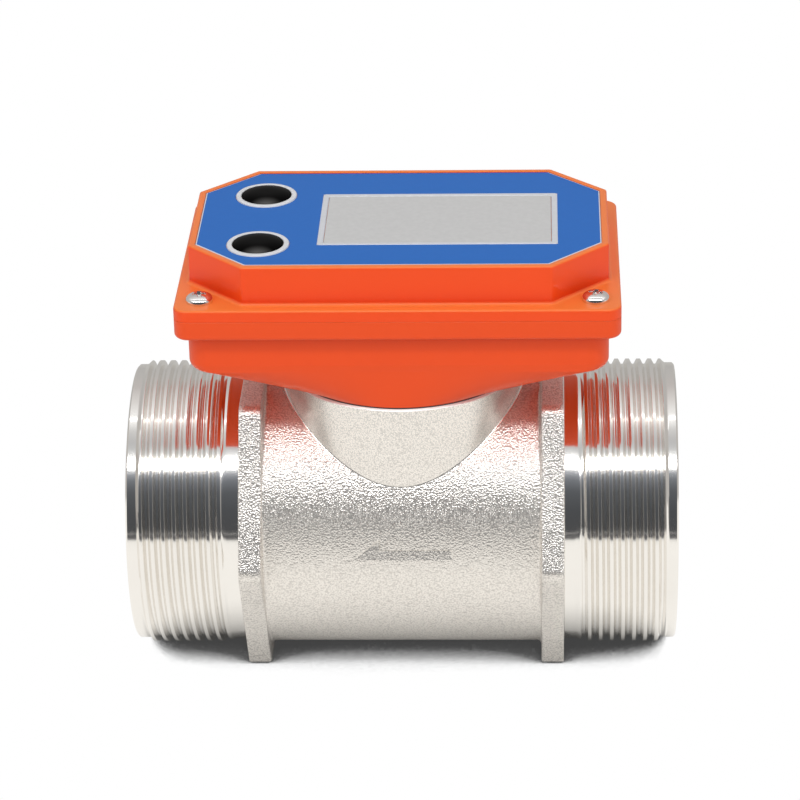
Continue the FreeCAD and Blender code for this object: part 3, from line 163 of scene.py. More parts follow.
# Cover screws
HEAD, SHANK = 2.75, 1.25
HEAD_RIM, HEAD_CURVE = 0.25, 2.4  # height of the dome's rim as a share of the head's, and its curve
RECESS_ARM, RECESS_HALF = 1.25, 0.34
RECESS_LEVEL, RECESS_SLOPE, RECESS_WALL = 0.35, 0.25, 0.24
SCREW_TURNS = {(-1, -1): 8, (1, -1): -15, (-1, 1): 30, (1, 1): 52}  # degrees, by the signs of X and Y


# ---- Camera, lamps, floor and world ---------------------------------------------------------

CAMERA_AIM = Vector((-0.0009, 0.0, 0.0535))
CAMERA_AZIMUTH, CAMERA_ELEVATION, CAMERA_ROLL = 2.53, 25.72, -1.28  # degrees
CAMERA_DISTANCE = 0.7343
CAMERA_LENS = 157.96          # millimetres

# Degrees of bearing and elevation; distance, width and height in metres.
LAMPS = {
    "strip": {"bearing": 0, "elevation": 57, "distance": 1.3, "size": (3.2, 0.17), "radiance": 4.6},
    "sheen": {"bearing": 0, "elevation": 57, "distance": 1.29, "size": (3.2, 0.15), "radiance": 4.0,
              "diffuse": False},
    "ridge": {"bearing": 180, "elevation": 81.5, "distance": 1.3, "size": (3.0, 0.05), "radiance": 1.6},
    "fill_left": {"bearing": -38, "elevation": 30, "distance": 1.4, "size": (0.8, 0.8), "radiance": 1.0,
                  "glossy": False},
    "fill_right": {"bearing": 38, "elevation": 30, "distance": 1.4, "size": (0.8, 0.8), "radiance": 1.0,
                   "glossy": False},
}

# What metal shows of the studio, by tilt in degrees from straight up towards the front.
ROOM = [(-180, (0.48, 0.47, 0.46)), (-92, (0.48, 0.47, 0.46)), (-70, (0.52, 0.51, 0.50)),
        (-48, (0.56, 0.53, 0.52)), (-28, (0.76, 0.74, 0.73)), (-11, (1.0, 1.0, 1.0)), (-5, (1.0, 1.0, 1.0)),
        (2, (0.70, 0.70, 0.70)), (13, (0.54, 0.54, 0.55)), (20, (0.58, 0.59, 0.60)), (27, (0.95, 0.96, 0.97)),
        (36, (0.90, 0.91, 0.93)), (40, (0.34, 0.36, 0.40)), (46, (0.17, 0.185, 0.21)),
        (56, (0.10, 0.108, 0.12)), (72, (0.075, 0.08, 0.087)), (92, (0.075, 0.076, 0.08))]
SIDE_WALLS = (0.52, 0.50, 0.48, 1)
WORLD_LIGHT = 0.50

FLOOR_HALF = 7.0
FLOOR_DROP = 0.0001           # under the part, so that no faces coincide
SHADOW_REACH = 0.16           # how far the floor looks for what stands on it
SHADOW_OPEN, SHADOW_FALL = 0.2318, 50.0
SHADOW_FLOOR = 0.055          # strength in the deepest shadow
FLAG_HALF, FLAG_FRONT, FLAG_HEIGHT = 3.0, -0.36, 0.002


def add_camera():
    """The photograph's viewpoint, aimed at the middle of the part."""
    azimuth, elevation = math.radians(CAMERA_AZIMUTH), math.radians(CAMERA_ELEVATION)
    back = Vector((math.sin(azimuth) * math.cos(elevation), -math.cos(azimuth) * math.cos(elevation),
                   math.sin(elevation)))
    turn = (-back).to_track_quat("-Z", "Y").to_matrix() @ Matrix.Rotation(math.radians(CAMERA_ROLL), 3, "Z")
    camera = bpy.data.objects.new("camera", bpy.data.cameras.new("camera"))
    bpy.context.collection.objects.link(camera)
    camera.data.lens = CAMERA_LENS
    camera.matrix_world = Matrix.Translation(CAMERA_AIM + back * CAMERA_DISTANCE) @ turn.to_4x4()
    bpy.context.scene.camera = camera


def add_lamp(name, bearing, elevation, distance, size, radiance, glossy=True, diffuse=True):
    """An area lamp that looks at the object from a bearing (0 is the front) and an elevation."""
    a, e = math.radians(bearing), math.radians(elevation)
    away = Vector((math.sin(a) * math.cos(e), -math.cos(a) * math.cos(e), math.sin(e)))
    data = bpy.data.lights.new(name, "AREA")
    data.shape = "RECTANGLE"
    data.size, data.size_y = size
    data.energy = radiance * math.pi * size[0] * size[1]
    lamp = bpy.data.objects.new(name, data)
    bpy.context.collection.objects.link(lamp)
    lamp.location = CAMERA_AIM + away * distance
    lamp.rotation_euler = (-away).to_track_quat("-Z", "Y").to_euler()
    lamp.visible_glossy, lamp.visible_diffuse = glossy, diffuse


def node(tree, kind, **inputs):
    """A shader node. P_name sets a property; i0, i1 and so on are sockets by number, other names sockets by
    name, with spaces for underscores. A socket is linked to a socket and set to anything else.
    """
    new = tree.nodes.new(kind)
    for name, value in inputs.items():
        if name.startswith("P_"):
            setattr(new, name[2:], value)
    for name, value in inputs.items():
        if name.startswith("P_"):
            continue
        numbered = name[0] == "i" and name[1:].isdigit()
        socket = new.inputs[int(name[1:]) if numbered else name.replace("_", " ")]
        if isinstance(value, bpy.types.NodeSocket):
            tree.links.new(value, socket)
        else:
            socket.default_value = value
    return new


def math_node(tree, operation, *values):
    """Result of a math node."""
    return node(tree, "ShaderNodeMath", P_operation=operation,
                **{f"i{n}": value for n, value in enumerate(values)}).outputs[0]


def seen_rays(tree):
    """1 for rays from the camera and for what metal and glass show, 0 for light that falls on things."""
    rays = node(tree, "ShaderNodeLightPath").outputs
    seen = math_node(tree, "MAXIMUM", rays["Is Camera Ray"], rays["Is Glossy Ray"])
    return math_node(tree, "MAXIMUM", seen, rays["Is Transmission Ray"])


def add_world():
    """White studio. Metal also shows the dim room in front, below the strip light."""
    world = bpy.data.worlds.new("studio")
    bpy.context.scene.world = world
    world.use_nodes = True
    tree = world.node_tree
    tree.nodes.clear()
    way = node(tree, "ShaderNodeTexCoord").outputs["Generated"]
    parts = node(tree, "ShaderNodeSeparateXYZ", Vector=way)
    forward = math_node(tree, "MULTIPLY", parts.outputs["Y"], -1.0)
    tilt = math_node(tree, "ARCTAN2", forward, parts.outputs["Z"])
    share = node(tree, "ShaderNodeMapRange", Value=tilt, From_Min=-math.pi, From_Max=math.pi)
    ramp = node(tree, "ShaderNodeValToRGB", Fac=share.outputs["Result"])
    elements = ramp.color_ramp.elements
    while len(elements) > 1:
        elements.remove(elements[-1])
    for place, (tilt_deg, colour) in enumerate(ROOM):
        position = (tilt_deg + 180) / 360
        element = elements[0] if place == 0 else elements.new(position)
        element.position = position
        element.color = (*colour, 1)
    sideways = math_node(tree, "ABSOLUTE", parts.outputs["X"])
    wall = node(tree, "ShaderNodeMapRange", Value=sideways, From_Min=0.70, From_Max=0.92)
    room = node(tree, "ShaderNodeMix", P_data_type="RGBA", Factor=wall.outputs["Result"],
                i6=ramp.outputs["Color"], i7=SIDE_WALLS)
    camera = node(tree, "ShaderNodeLightPath").outputs["Is Camera Ray"]
    seen = node(tree, "ShaderNodeMix", P_data_type="RGBA", Factor=camera, i6=room.outputs[2],
                i7=(1, 1, 1, 1))
    shown = node(tree, "ShaderNodeBackground", Color=seen.outputs[2], Strength=1.0)
    light = node(tree, "ShaderNodeBackground", Color=(1.0, 0.99, 0.98, 1), Strength=WORLD_LIGHT)
    both = node(tree, "ShaderNodeMixShader", Fac=seen_rays(tree), i1=light.outputs[0], i2=shown.outputs[0])
    tree.links.new(both.outputs[0], node(tree, "ShaderNodeOutputWorld").inputs["Surface"])


def stage_sheet(name, low, high, height):
    """A level sheet between two corners, and the empty tree of its material."""
    bm = bmesh.new()
    corners = [bm.verts.new((x, y, height)) for x, y in
               [(low[0], low[1]), (high[0], low[1]), (high[0], high[1]), (low[0], high[1])]]
    bm.faces.new(corners)
    bmesh.ops.subdivide_edges(bm, edges=bm.edges, cuts=7, use_grid_fill=True)
    mesh = bpy.data.meshes.new(name)
    bm.to_mesh(mesh)
    bm.free()
    sheet = bpy.data.objects.new(name, mesh)
    bpy.context.collection.objects.link(sheet)
    material = bpy.data.materials.new(name)
    material.use_nodes = True
    material.node_tree.nodes.clear()
    mesh.materials.append(material)
    return sheet, material.node_tree


def add_floor():
    """White floor that keeps a painted shadow of what stands on it, from how closed in each point is. Metal
    shows a wider and softer one, slightly warm, and darker behind the part.
    """
    _, tree = stage_sheet("floor", (-FLOOR_HALF, -FLOOR_HALF), (FLOOR_HALF, FLOOR_HALF), -FLOOR_DROP)
    shade = node(tree, "ShaderNodeAmbientOcclusion", P_samples=16, Distance=SHADOW_REACH)
    near = math_node(tree, "SUBTRACT", shade.outputs["AO"], SHADOW_OPEN)
    near = math_node(tree, "MULTIPLY", near, SHADOW_FALL)
    near = math_node(tree, "EXPONENT", math_node(tree, "MINIMUM", near, 0.0))
    wide = node(tree, "ShaderNodeMapRange", Value=shade.outputs["AO"], From_Min=0.12, From_Max=0.66)
    wide = math_node(tree, "POWER", wide.outputs["Result"], 0.8)
    glossy = node(tree, "ShaderNodeLightPath").outputs["Is Glossy Ray"]
    level = node(tree, "ShaderNodeMix", Factor=glossy, A=near, B=wide).outputs["Result"]
    # painted shade: what metal shows of the floor grows darker behind the part
    shade_behind = node(tree, "ShaderNodeSeparateXYZ", Vector=node(tree, "ShaderNodeTexCoord").outputs["Object"])
    shade_behind = node(tree, "ShaderNodeMapRange", Value=shade_behind.outputs["Y"], From_Min=0.0, From_Max=0.12,
                  To_Max=0.5)
    dimmed = math_node(tree, "SUBTRACT", 1.0, math_node(tree, "MULTIPLY", shade_behind.outputs["Result"], glossy))
    level = math_node(tree, "MULTIPLY", math_node(tree, "ADD", level, SHADOW_FLOOR), dimmed)
    level = math_node(tree, "MINIMUM", level, 1.0)
    tint = node(tree, "ShaderNodeMix", P_data_type="RGBA", Factor=glossy, i6=(1, 1, 1, 1),
                i7=(1.0, 0.98, 0.94, 1))
    glow = node(tree, "ShaderNodeEmission", Color=tint.outputs[2], Strength=level)
    matt = node(tree, "ShaderNodeBsdfDiffuse", Color=(0.86, 0.86, 0.86, 1))
    both = node(tree, "ShaderNodeMixShader", Fac=seen_rays(tree), i1=matt.outputs[0], i2=glow.outputs[0])
    tree.links.new(both.outputs[0], node(tree, "ShaderNodeOutputMaterial").inputs["Surface"])


def add_flag():
    """Black flag that lies before the object, seen in the metal alone."""
    flag, tree = stage_sheet("flag", (-FLAG_HALF, -FLAG_HALF), (FLAG_HALF, FLAG_FRONT), FLAG_HEIGHT)
    dark = node(tree, "ShaderNodeEmission", Color=(0.08, 0.08, 0.085, 1), Strength=1.0)
    tree.links.new(dark.outputs[0], node(tree, "ShaderNodeOutputMaterial").inputs["Surface"])
    for ray in ("camera", "diffuse", "transmission", "shadow", "volume_scatter"):
        setattr(flag, "visible_" + ray, False)


# ---- Materials ------------------------------------------------------------------------------

def principled(name, **sockets):
    """A material, its tree and its shader, with constants set on the shader's own sockets."""
    material = bpy.data.materials.new(name)
    material.use_nodes = True
    tree = material.node_tree
    shader = tree.nodes["Principled BSDF"]
    for socket, value in sockets.items():
        shader.inputs[socket.replace("_", " ")].default_value = value
    return material, tree, shader


def object_noise(tree, scale, detail=2.0, stretch=(1, 1, 1)):
    """Noise that is fixed to the object, its scale in waves to a metre."""
    place = node(tree, "ShaderNodeTexCoord").outputs["Object"]
    place = node(tree, "ShaderNodeMapping", Vector=place, Scale=stretch).outputs[0]
    return node(tree, "ShaderNodeTexNoise", Vector=place, Scale=scale, Detail=detail).outputs["Fac"]


def bumped(tree, shader, height, distance):
    """Relief of a height map, its depth in metres."""
    bump = node(tree, "ShaderNodeBump", Height=height, Distance=distance)
    tree.links.new(bump.outputs[0], shader.inputs["Normal"])


def varied(tree, shader, value, low, high):
    """Base colour that goes from low to high with a value; each end is a colour or a socket."""
    low, high = (end if isinstance(end, bpy.types.NodeSocket) else (*end, 1) for end in (low, high))
    mix = node(tree, "ShaderNodeMix", P_data_type="RGBA", Factor=value, i6=low, i7=high)
    tree.links.new(mix.outputs[2], shader.inputs["Base Color"])


def cast_steel(name, grain, depth, fleck, roughness):
    """Blasted casting: an even grain that scatters what it shows, with dark flecks between the grains."""
    material, tree, shader = principled(name, Metallic=0.76, Roughness=roughness)
    place = node(tree, "ShaderNodeTexCoord").outputs["Object"]
    pebbles = node(tree, "ShaderNodeTexVoronoi", P_feature="SMOOTH_F1", Vector=place, Scale=grain,
                   Smoothness=0.4)
    between = node(tree, "ShaderNodeMapRange", Value=pebbles.outputs["Distance"], From_Min=0.30, From_Max=0.75,
                   To_Min=1.0, To_Max=fleck)
    mottle = node(tree, "ShaderNodeMapRange", Value=object_noise(tree, 260), To_Min=0.95, To_Max=1.0)
    tone = math_node(tree, "MULTIPLY", between.outputs["Result"], mottle.outputs["Result"])
    varied(tree, shader, tone, (0.0, 0.0, 0.0), (0.98, 0.94, 0.885))
    bumped(tree, shader, pebbles.outputs["Distance"], depth)
    return material


def turned_steel():
    """Bright steel off the lathe: shallow rings along the pipe."""
    material, tree, shader = principled("turned_steel", Metallic=1.0, Roughness=0.11)
    varied(tree, shader, object_noise(tree, 120), (0.86, 0.84, 0.81), (0.92, 0.90, 0.87))
    bumped(tree, shader, object_noise(tree, 1.0, 3.0, (9000, 60, 60)), 0.002 * MM)
    return material


def label_film():
    """Printed film: matt blue face, and a pale border that is widest at the front, where it is also a painted
    highlight along the edge.
    """
    border = LABEL_BORDER * MM
    material, tree, shader = principled("label_film", Roughness=0.42, Specular_IOR_Level=0.2)
    up = node(tree, "ShaderNodeSeparateXYZ", Vector=node(tree, "ShaderNodeNewGeometry").outputs["Normal"])
    face = math_node(tree, "GREATER_THAN", up.outputs["Z"], 0.5)
    place = node(tree, "ShaderNodeNewGeometry").outputs["Position"]
    # painted highlight: the border is shifted back, so it is twice as wide along the front edge and gone at the
    # back
    place = node(tree, "ShaderNodeVectorMath", P_operation="SUBTRACT", i0=place, i1=(0, border, 0))
    place = node(tree, "ShaderNodeVectorMath", P_operation="ABSOLUTE", i0=place.outputs["Vector"])
    place = node(tree, "ShaderNodeSeparateXYZ", Vector=place.outputs["Vector"])
    half_x, half_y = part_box("label_plate")[1][:2]
    chamfer = (PLATFORM[2] - LABEL_BED * (2 - math.sqrt(2))) * MM
    slant = math_node(tree, "ADD", place.outputs["X"], place.outputs["Y"])
    slant = math_node(tree, "SUBTRACT", slant, half_x + half_y - chamfer)
    past_x = math_node(tree, "SUBTRACT", place.outputs["X"], half_x)
    past_y = math_node(tree, "SUBTRACT", place.outputs["Y"], half_y)
    to_edge = math_node(tree, "MAXIMUM", math_node(tree, "MAXIMUM", past_x, past_y),
                        math_node(tree, "MULTIPLY", slant, math.sqrt(0.5)))
    face = math_node(tree, "MULTIPLY", face, math_node(tree, "LESS_THAN", to_edge, -border))
    blue = node(tree, "ShaderNodeMix", P_data_type="RGBA", Factor=object_noise(tree, 700, 3.0),
                i6=(0.013, 0.150, 0.560, 1), i7=(0.013, 0.160, 0.590, 1))
    varied(tree, shader, face, (0.72, 0.74, 0.80), blue.outputs[2])
    bumped(tree, shader, object_noise(tree, 4000), 0.006 * MM)
    return material


def button_plastic():
    """Deep black, with a painted grey sheen on the front of each cap that stands in for its reflection."""
    material, tree, shader = principled("button_plastic", Roughness=0.30, Specular_IOR_Level=0.02)
    # painted sheen: a grey patch towards the front of each cap, from its generated coordinates
    place = node(tree, "ShaderNodeTexCoord").outputs["Generated"]
    flat = node(tree, "ShaderNodeMapping", Vector=place, Scale=(1.0, 1.0, 0.0)).outputs[0]
    away = node(tree, "ShaderNodeVectorMath", P_operation="DISTANCE", i0=flat, i1=(0.53, -0.06, 0.0))
    sheen = node(tree, "ShaderNodeMapRange", Value=away.outputs["Value"], From_Min=0.36, From_Max=0.04)
    sheen = math_node(tree, "POWER", sheen.outputs["Result"], 1.4)
    varied(tree, shader, sheen, (0.0, 0.0, 0.0), (0.17, 0.165, 0.16))
    bumped(tree, shader, object_noise(tree, 1800), 0.004 * MM)
    return material


CREASE_SHADE_SHARE = (0.66, 0.40, 0.3)  # of an upright face's colour, what is left in the painted shade where faces meet


def orange_plastic(name, upright, flat):
    """Moulded plastic: a colour for upright faces and a lighter one for flat ones as painted top light, with
    painted shade that deepens the colour where faces meet.
    """
    material, tree, shader = principled(name, Roughness=0.34, Specular_IOR_Level=0.36)
    up = node(tree, "ShaderNodeSeparateXYZ", Vector=node(tree, "ShaderNodeNewGeometry").outputs["Normal"])
    # painted top light: faces that look up take the lighter flat colour
    lying = node(tree, "ShaderNodeMapRange", Value=up.outputs["Z"], From_Min=0.15, From_Max=0.95)
    # painted shade: ambient occlusion deepens the side colour in creases and under ledges
    shade = node(tree, "ShaderNodeAmbientOcclusion", P_samples=12, Distance=0.006)
    openness = node(tree, "ShaderNodeMapRange", Value=shade.outputs["AO"], From_Min=0.40, From_Max=0.93)
    mottle = node(tree, "ShaderNodeMapRange", Value=object_noise(tree, 90), To_Min=0.94, To_Max=1.0)
    tone = math_node(tree, "MULTIPLY", openness.outputs["Result"], mottle.outputs["Result"])
    crease_shade = (share * part for share, part in zip(CREASE_SHADE_SHARE, upright))
    side = node(tree, "ShaderNodeMix", P_data_type="RGBA", Factor=tone, i6=(*crease_shade, 1), i7=(*upright, 1))
    varied(tree, shader, lying.outputs["Result"], side.outputs[2], flat)
    bumped(tree, shader, object_noise(tree, 2600), 0.012 * MM)
    return material


def plain(name, colour, roughness, metallic=0.0, specular=0.5, scale=900, bump=0.008 * MM):
    """A slot's own colour with slight mottling, uneven gloss and fine grain."""
    material, tree, shader = principled(name, Metallic=metallic, Specular_IOR_Level=specular)
    noise = object_noise(tree, scale, 3.0)
    varied(tree, shader, noise, tuple(0.90 * c for c in colour), tuple(min(1.05 * c, 1) for c in colour))
    gloss = node(tree, "ShaderNodeMapRange", Value=noise, To_Min=0.85 * roughness, To_Max=1.15 * roughness)
    tree.links.new(gloss.outputs["Result"], shader.inputs["Roughness"])
    bumped(tree, shader, object_noise(tree, 2.5 * scale), bump)
    return material


# Colour, roughness, metallic and specular level of the slots with a plain finish
FINISHES = {
    "straightener_plastic": ((0.045, 0.047, 0.05), 0.42, 0.0),
    "spring_steel": ((0.55, 0.55, 0.56), 0.25, 1.0),
    "shaft_steel": ((0.72, 0.72, 0.73), 0.18, 1.0),
    "washer_steel": ((0.60, 0.58, 0.55), 0.30, 1.0),
    "rotor_plastic": ((0.86, 0.86, 0.84), 0.38, 0.0),
    "bush_plastic": ((0.12, 0.10, 0.08), 0.45, 0.0),
    "magnet": ((0.46, 0.46, 0.48), 0.30, 1.0),
    "sensor_case": ((0.03, 0.03, 0.035), 0.40, 0.0),
    "lead_wire": ((0.72, 0.66, 0.55), 0.28, 1.0),
    "seal_rubber": ((0.025, 0.025, 0.025), 0.65, 0.0),
    "gasket_rubber": ((0.03, 0.03, 0.032), 0.65, 0.0),
    "screw_steel": ((0.86, 0.84, 0.82), 0.14, 1.0),
    "bezel_plastic": ((0.72, 0.74, 0.79), 0.35, 0.0),
    "window_film": ((0.66, 0.66, 0.66), 0.40, 0.0, 0.2),
    "lcd_glass": ((0.40, 0.43, 0.38), 0.12, 0.0),
    "lcd_frame": ((0.75, 0.75, 0.74), 0.45, 0.0),
    "button_ring": ((0.82, 0.83, 0.86), 0.25, 0.0),
    "switch_body": ((0.05, 0.05, 0.05), 0.40, 0.0),
    "switch_plunger": ((0.55, 0.10, 0.06), 0.40, 0.0),
    "board": ((0.02, 0.16, 0.07), 0.35, 0.0),
    "holder_plastic": ((0.04, 0.04, 0.04), 0.45, 0.0),
    "cell": ((0.62, 0.63, 0.65), 0.28, 1.0),
    "contact_plate": ((0.70, 0.69, 0.66), 0.22, 1.0),
    "battery_wire": ((0.55, 0.02, 0.02), 0.50, 0.0),
}


# ---- Mesh tools -----------------------------------------------------------------------------

SIDE, CORNER = 32, 20         # points along a side and round a corner of a ring of eight runs


def smooth(share):
    """An even rise from 0 to 1 with level ends."""
    share = np.clip(share, 0, 1)
    return share * share * (3 - 2 * share)


def flat_walls(piece):
    """Shades each wall flat up to the rounds beside it."""
    piece.modifiers.new("flat_walls", "WEIGHTED_NORMAL").keep_sharp = True


def mesh_object(name, points, faces, material, crease=35.0, weld=0.0):
    """An object from points in millimetres, faces turned outwards, edges above the crease sharp."""
    mesh = bpy.data.meshes.new(name)
    shown = np.asarray(points, dtype=float) * MM + np.array([0, 0, AXIS_HEIGHT])
    mesh.from_pydata(shown.tolist(), [], faces)
    bm = bmesh.new()
    bm.from_mesh(mesh)
    if weld:
        bmesh.ops.remove_doubles(bm, verts=bm.verts, dist=weld * MM)
        bmesh.ops.dissolve_degenerate(bm, edges=bm.edges, dist=weld * MM)
    if bm.calc_volume(signed=True) < 0:
        bmesh.ops.reverse_faces(bm, faces=bm.faces)
    bm.to_mesh(mesh)
    bm.free()
    made = bpy.data.objects.new(name, mesh)
    bpy.context.collection.objects.link(made)
    mesh.polygons.foreach_set("use_smooth", [True] * len(mesh.polygons))
    mesh.set_sharp_from_angle(angle=math.radians(crease))
    mesh.materials.append(materials[material])
    return made


def new_piece(name, points, faces, body, slot, nodes, finish=None, **shading):
    """A piece that rides on a body and stands for CAD nodes; its finish is its slot's unless given."""
    piece = mesh_object(name, points, faces, finish or slot, **shading)
    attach(piece, body)
    flat_walls(piece)
    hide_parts(*nodes)
    return piece


def second_finish(piece, finish, wanted):
    """Gives another finish to the faces whose middle, in millimetres about the axis, is wanted."""
    piece.data.materials.append(materials[finish])
    for face in piece.data.polygons:
        x, y, z = face.center / MM
        face.material_index = int(wanted(x, y, z - FLAT))


def skin(rings, closed=False):
    """Points and faces of a stack of rings, each an (n, 3) array: a closed loop, or capped at both ends."""
    count = len(rings[0])
    faces = []
    for i in range(len(rings) if closed else len(rings) - 1):
        a, b = i * count, (i + 1) % len(rings) * count
        for j in range(count):
            k = (j + 1) % count
            faces.append((a + j, a + k, b + k, b + j))
    if not closed:
        faces.append(tuple(range(count))[::-1])
        faces.append(tuple(range((len(rings) - 1) * count, len(rings) * count)))
    return np.vstack(rings), faces


def joined(skins):
    """Points and faces of several skins as one."""
    all_points, all_faces, total = [], [], 0
    for points, faces in skins:
        all_points.append(points)
        all_faces += [tuple(total + v for v in face) for face in faces]
        total += len(points)
    return np.vstack(all_points), all_faces


def arc(centre, radius, start, end, count):
    """Points of an arc in a profile plane, angles in degrees from the first axis."""
    turn = np.radians(np.linspace(start, end, count))
    return [(centre[0] + radius * math.cos(t), centre[1] + radius * math.sin(t)) for t in turn]


def turned(profile, about, count=96):
    """Rings of a profile of (radius, height) points, revolved about an upright axis."""
    turn = np.linspace(0, 2 * math.pi, count, endpoint=False)
    return [np.column_stack([about[0] + radius * np.cos(turn), about[1] + radius * np.sin(turn),
                             np.full(count, height)]) for radius, height in profile]


def middle_of(low, high):
    """Middle of a box, seen from above."""
    return (low[:2] + high[:2]) / 2


def eight_runs(corners):
    """A closed ring of four sides and four corner runs, from the corner runs, in turning order."""
    ring = []
    for n, run in enumerate(corners):
        last = corners[n - 1][-1]
        share = np.linspace(0, 1, SIDE + 2)[1:-1, None]
        ring += [last + (run[0] - last) * share, run]
    return np.vstack(ring)


def rounded_box(half_x, half_y, corner, inset=0.0):
    """A rectangle with round corners, drawn in by an inset."""
    half_x, half_y, corner = half_x - inset, half_y - inset, max(corner - inset, 0.05)
    runs = []
    for n, (sx, sy) in enumerate([(1, 1), (-1, 1), (-1, -1), (1, -1)]):
        turn = np.radians(np.linspace(90 * n, 90 * n + 90, CORNER))
        runs.append(np.stack([sx * (half_x - corner) + corner * np.cos(turn),
                              sy * (half_y - corner) + corner * np.sin(turn)], axis=1))
    return eight_runs(runs)


def chamfered_box(half_x, half_y, chamfer, corner, inset=0.0):
    """A rectangle with chamfered corners, whose eight bends are slightly round."""
    half_x, half_y, corner = half_x - inset, half_y - inset, max(corner - inset, 0.05)
    chamfer -= inset * (2 - math.sqrt(2))
    reach = corner * math.tan(math.radians(22.5))
    bend = CORNER // 4
    turn = np.radians(np.linspace(0, 45, bend))
    runs = []
    for n in range(4):
        along, across = (half_x, half_y) if n % 2 == 0 else (half_y, half_x)
        first = np.array([along - corner, across - chamfer - reach])
        second = np.array([along - chamfer - reach, across - corner])
        a = first + corner * np.stack([np.cos(turn), np.sin(turn)], axis=1)
        b = second + corner * np.stack([np.cos(turn + math.pi / 4), np.sin(turn + math.pi / 4)], axis=1)
        share = np.linspace(0, 1, CORNER - 2 * bend + 2)[1:-1, None]
        run = np.vstack([a, a[-1] + (b[0] - a[-1]) * share, b])
        c, s = math.cos(math.pi / 2 * n), math.sin(math.pi / 2 * n)
        runs.append(run @ np.array([[c, s], [-s, c]]))
    return eight_runs(runs)


def split_round(radius, bearing, spread):
    """A circle cut in eight runs that pair with those of a rounded box."""
    marks = []
    for n in range(4):
        middle = bearing if n % 2 == 0 else 90 - bearing
        marks.append((90 * n + middle - spread, 90 * n + middle + spread))
    ring = []
    for n, (start, end) in enumerate(marks):
        last = marks[n - 1][1] - (360 if n == 0 else 0)
        side = np.linspace(last, start, SIDE + 2)[1:-1]
        ring.append(np.concatenate([side, np.linspace(start, end, CORNER)]))
    turn = np.radians(np.concatenate(ring))
    return np.stack([radius * np.cos(turn), radius * np.sin(turn)], axis=1)


def level(outline, height):
    """A flat outline as a ring at a height."""
    return np.column_stack([outline, np.full(len(outline), height)])


# ---- Cast pipe body: barrel, hexagons and neck ----------------------------------------------

def hexagon_reach(turn):
    """Radius of the round-cornered hexagon at an angle from straight up."""
    from_flat = np.abs((np.degrees(turn) + 30) % 60 - 30)
    from_corner = np.radians(30 - from_flat)
    lean = math.cos(math.radians(30))
    centre = (FLAT - HEX_CORNER) / lean
    corner = centre * np.cos(from_corner) \
        + np.sqrt(np.maximum(HEX_CORNER ** 2 - (centre * np.sin(from_corner)) ** 2, 0))
    bend = math.degrees(math.atan2(HEX_CORNER / 2, centre + HEX_CORNER * lean))
    return np.where(30 - from_flat < bend, corner, FLAT / np.cos(np.radians(from_flat)))


def arrow_distance(x, z):
    """Signed distance to the arrow's outline, negative inside."""
    best = np.full(x.shape, 1e9)
    inside = np.zeros(x.shape, dtype=bool)
    for (ax, az), (bx, bz) in zip(ARROW, ARROW[1:] + ARROW[:1]):
        ex, ez = bx - ax, bz - az
        share = np.clip(((x - ax) * ex + (z - az) * ez) / (ex * ex + ez * ez), 0, 1)
        best = np.minimum(best, np.hypot(x - ax - share * ex, z - az - share * ez))
        crosses = ((az > z) != (bz > z)) & (x < (bx - ax) * (z - az) / (bz - az + 1e-12) + ax)
        inside ^= crosses
    return np.where(inside, -best, best)


def arrow_depth(x, turn):
    """Depth of the arrow below the barrel at each angle of one station; only the front holds it."""
    z = BARREL * np.cos(turn)
    away = np.where(np.sin(turn) < 0, arrow_distance(np.full_like(turn, x), z), 9.0)
    floor = np.clip(ARROW_SLOPE * (z - ARROW[0][1]), 0, ARROW_DEEPEST)
    return floor * smooth((ARROW_WALL / 2 - away) / ARROW_WALL)


def barrel_turns():
    """Angles round the barrel, closer over the hexagon's corners and the arrow."""
    degrees = set(np.round(np.arange(0, 360, 1.5), 4))
    for corner in range(30, 360, 60):
        degrees.update(np.round(corner + np.linspace(-2.3, 2.3, 13), 4))
    degrees.update(np.round(270 + np.arange(1.6, 12.4, 0.16), 4))
    return np.radians(sorted(degrees))


def cast_barrel():
    """Pipe between the machined ends: barrel with the sunk arrow, two hexagons, and the inner skin."""
    turn = barrel_turns()
    reach = hexagon_reach(turn)
    foot = np.minimum(HEX_FOOT, HEX_SHARE * (reach - BARREL))
    edge = np.minimum(HEX_EDGE, HEX_SHARE * (reach - BARREL))

    middle = [(x, BARREL - arrow_depth(x, turn)) for x in np.linspace(-ARROW_ZONE, ARROW_ZONE, ARROW_STATIONS)]
    right = [(x, BARREL) for x in BARREL_STATIONS]
    for t in np.radians(np.linspace(-90, 0, 6)):
        right.append((HEX_START - foot + foot * np.cos(t), BARREL + foot + foot * np.sin(t)))
    for t in np.radians(np.linspace(180, 90, 6)):
        right.append((HEX_START + edge + edge * np.cos(t), reach - edge + edge * np.sin(t)))
    right += [(x, reach) for x in HEX_STATIONS]
    right += [(HEX_END - HEX_CHAMFER, reach), (HEX_END, reach - HEX_CHAMFER),
              (HEX_END - TUCK, reach - FACE_INSET), (HEX_END - SET_BACK, reach - FACE_INSET - SET_BACK),
              (HEX_END - SET_BACK, INNER_SKIN), (0.5, INNER_SKIN)]
    left = [(-x, radius) for x, radius in reversed(right)]

    rings = []
    for x, radius in left + middle + right:
        across = np.clip(radius * np.sin(turn), body_low[1], body_high[1])
        rings.append(np.column_stack([np.broadcast_to(x, turn.shape), across, radius * np.cos(turn)]))
    barrel = new_piece("cast_barrel", *skin(rings, closed=True), "meter", "cast_steel", ["meter_body"],
                       crease=50)
    second_finish(barrel, "hex_cast",
                  lambda x, y, z: abs(x) > HEX_START and math.hypot(y, z) > BARREL + HEX_GRAIN)


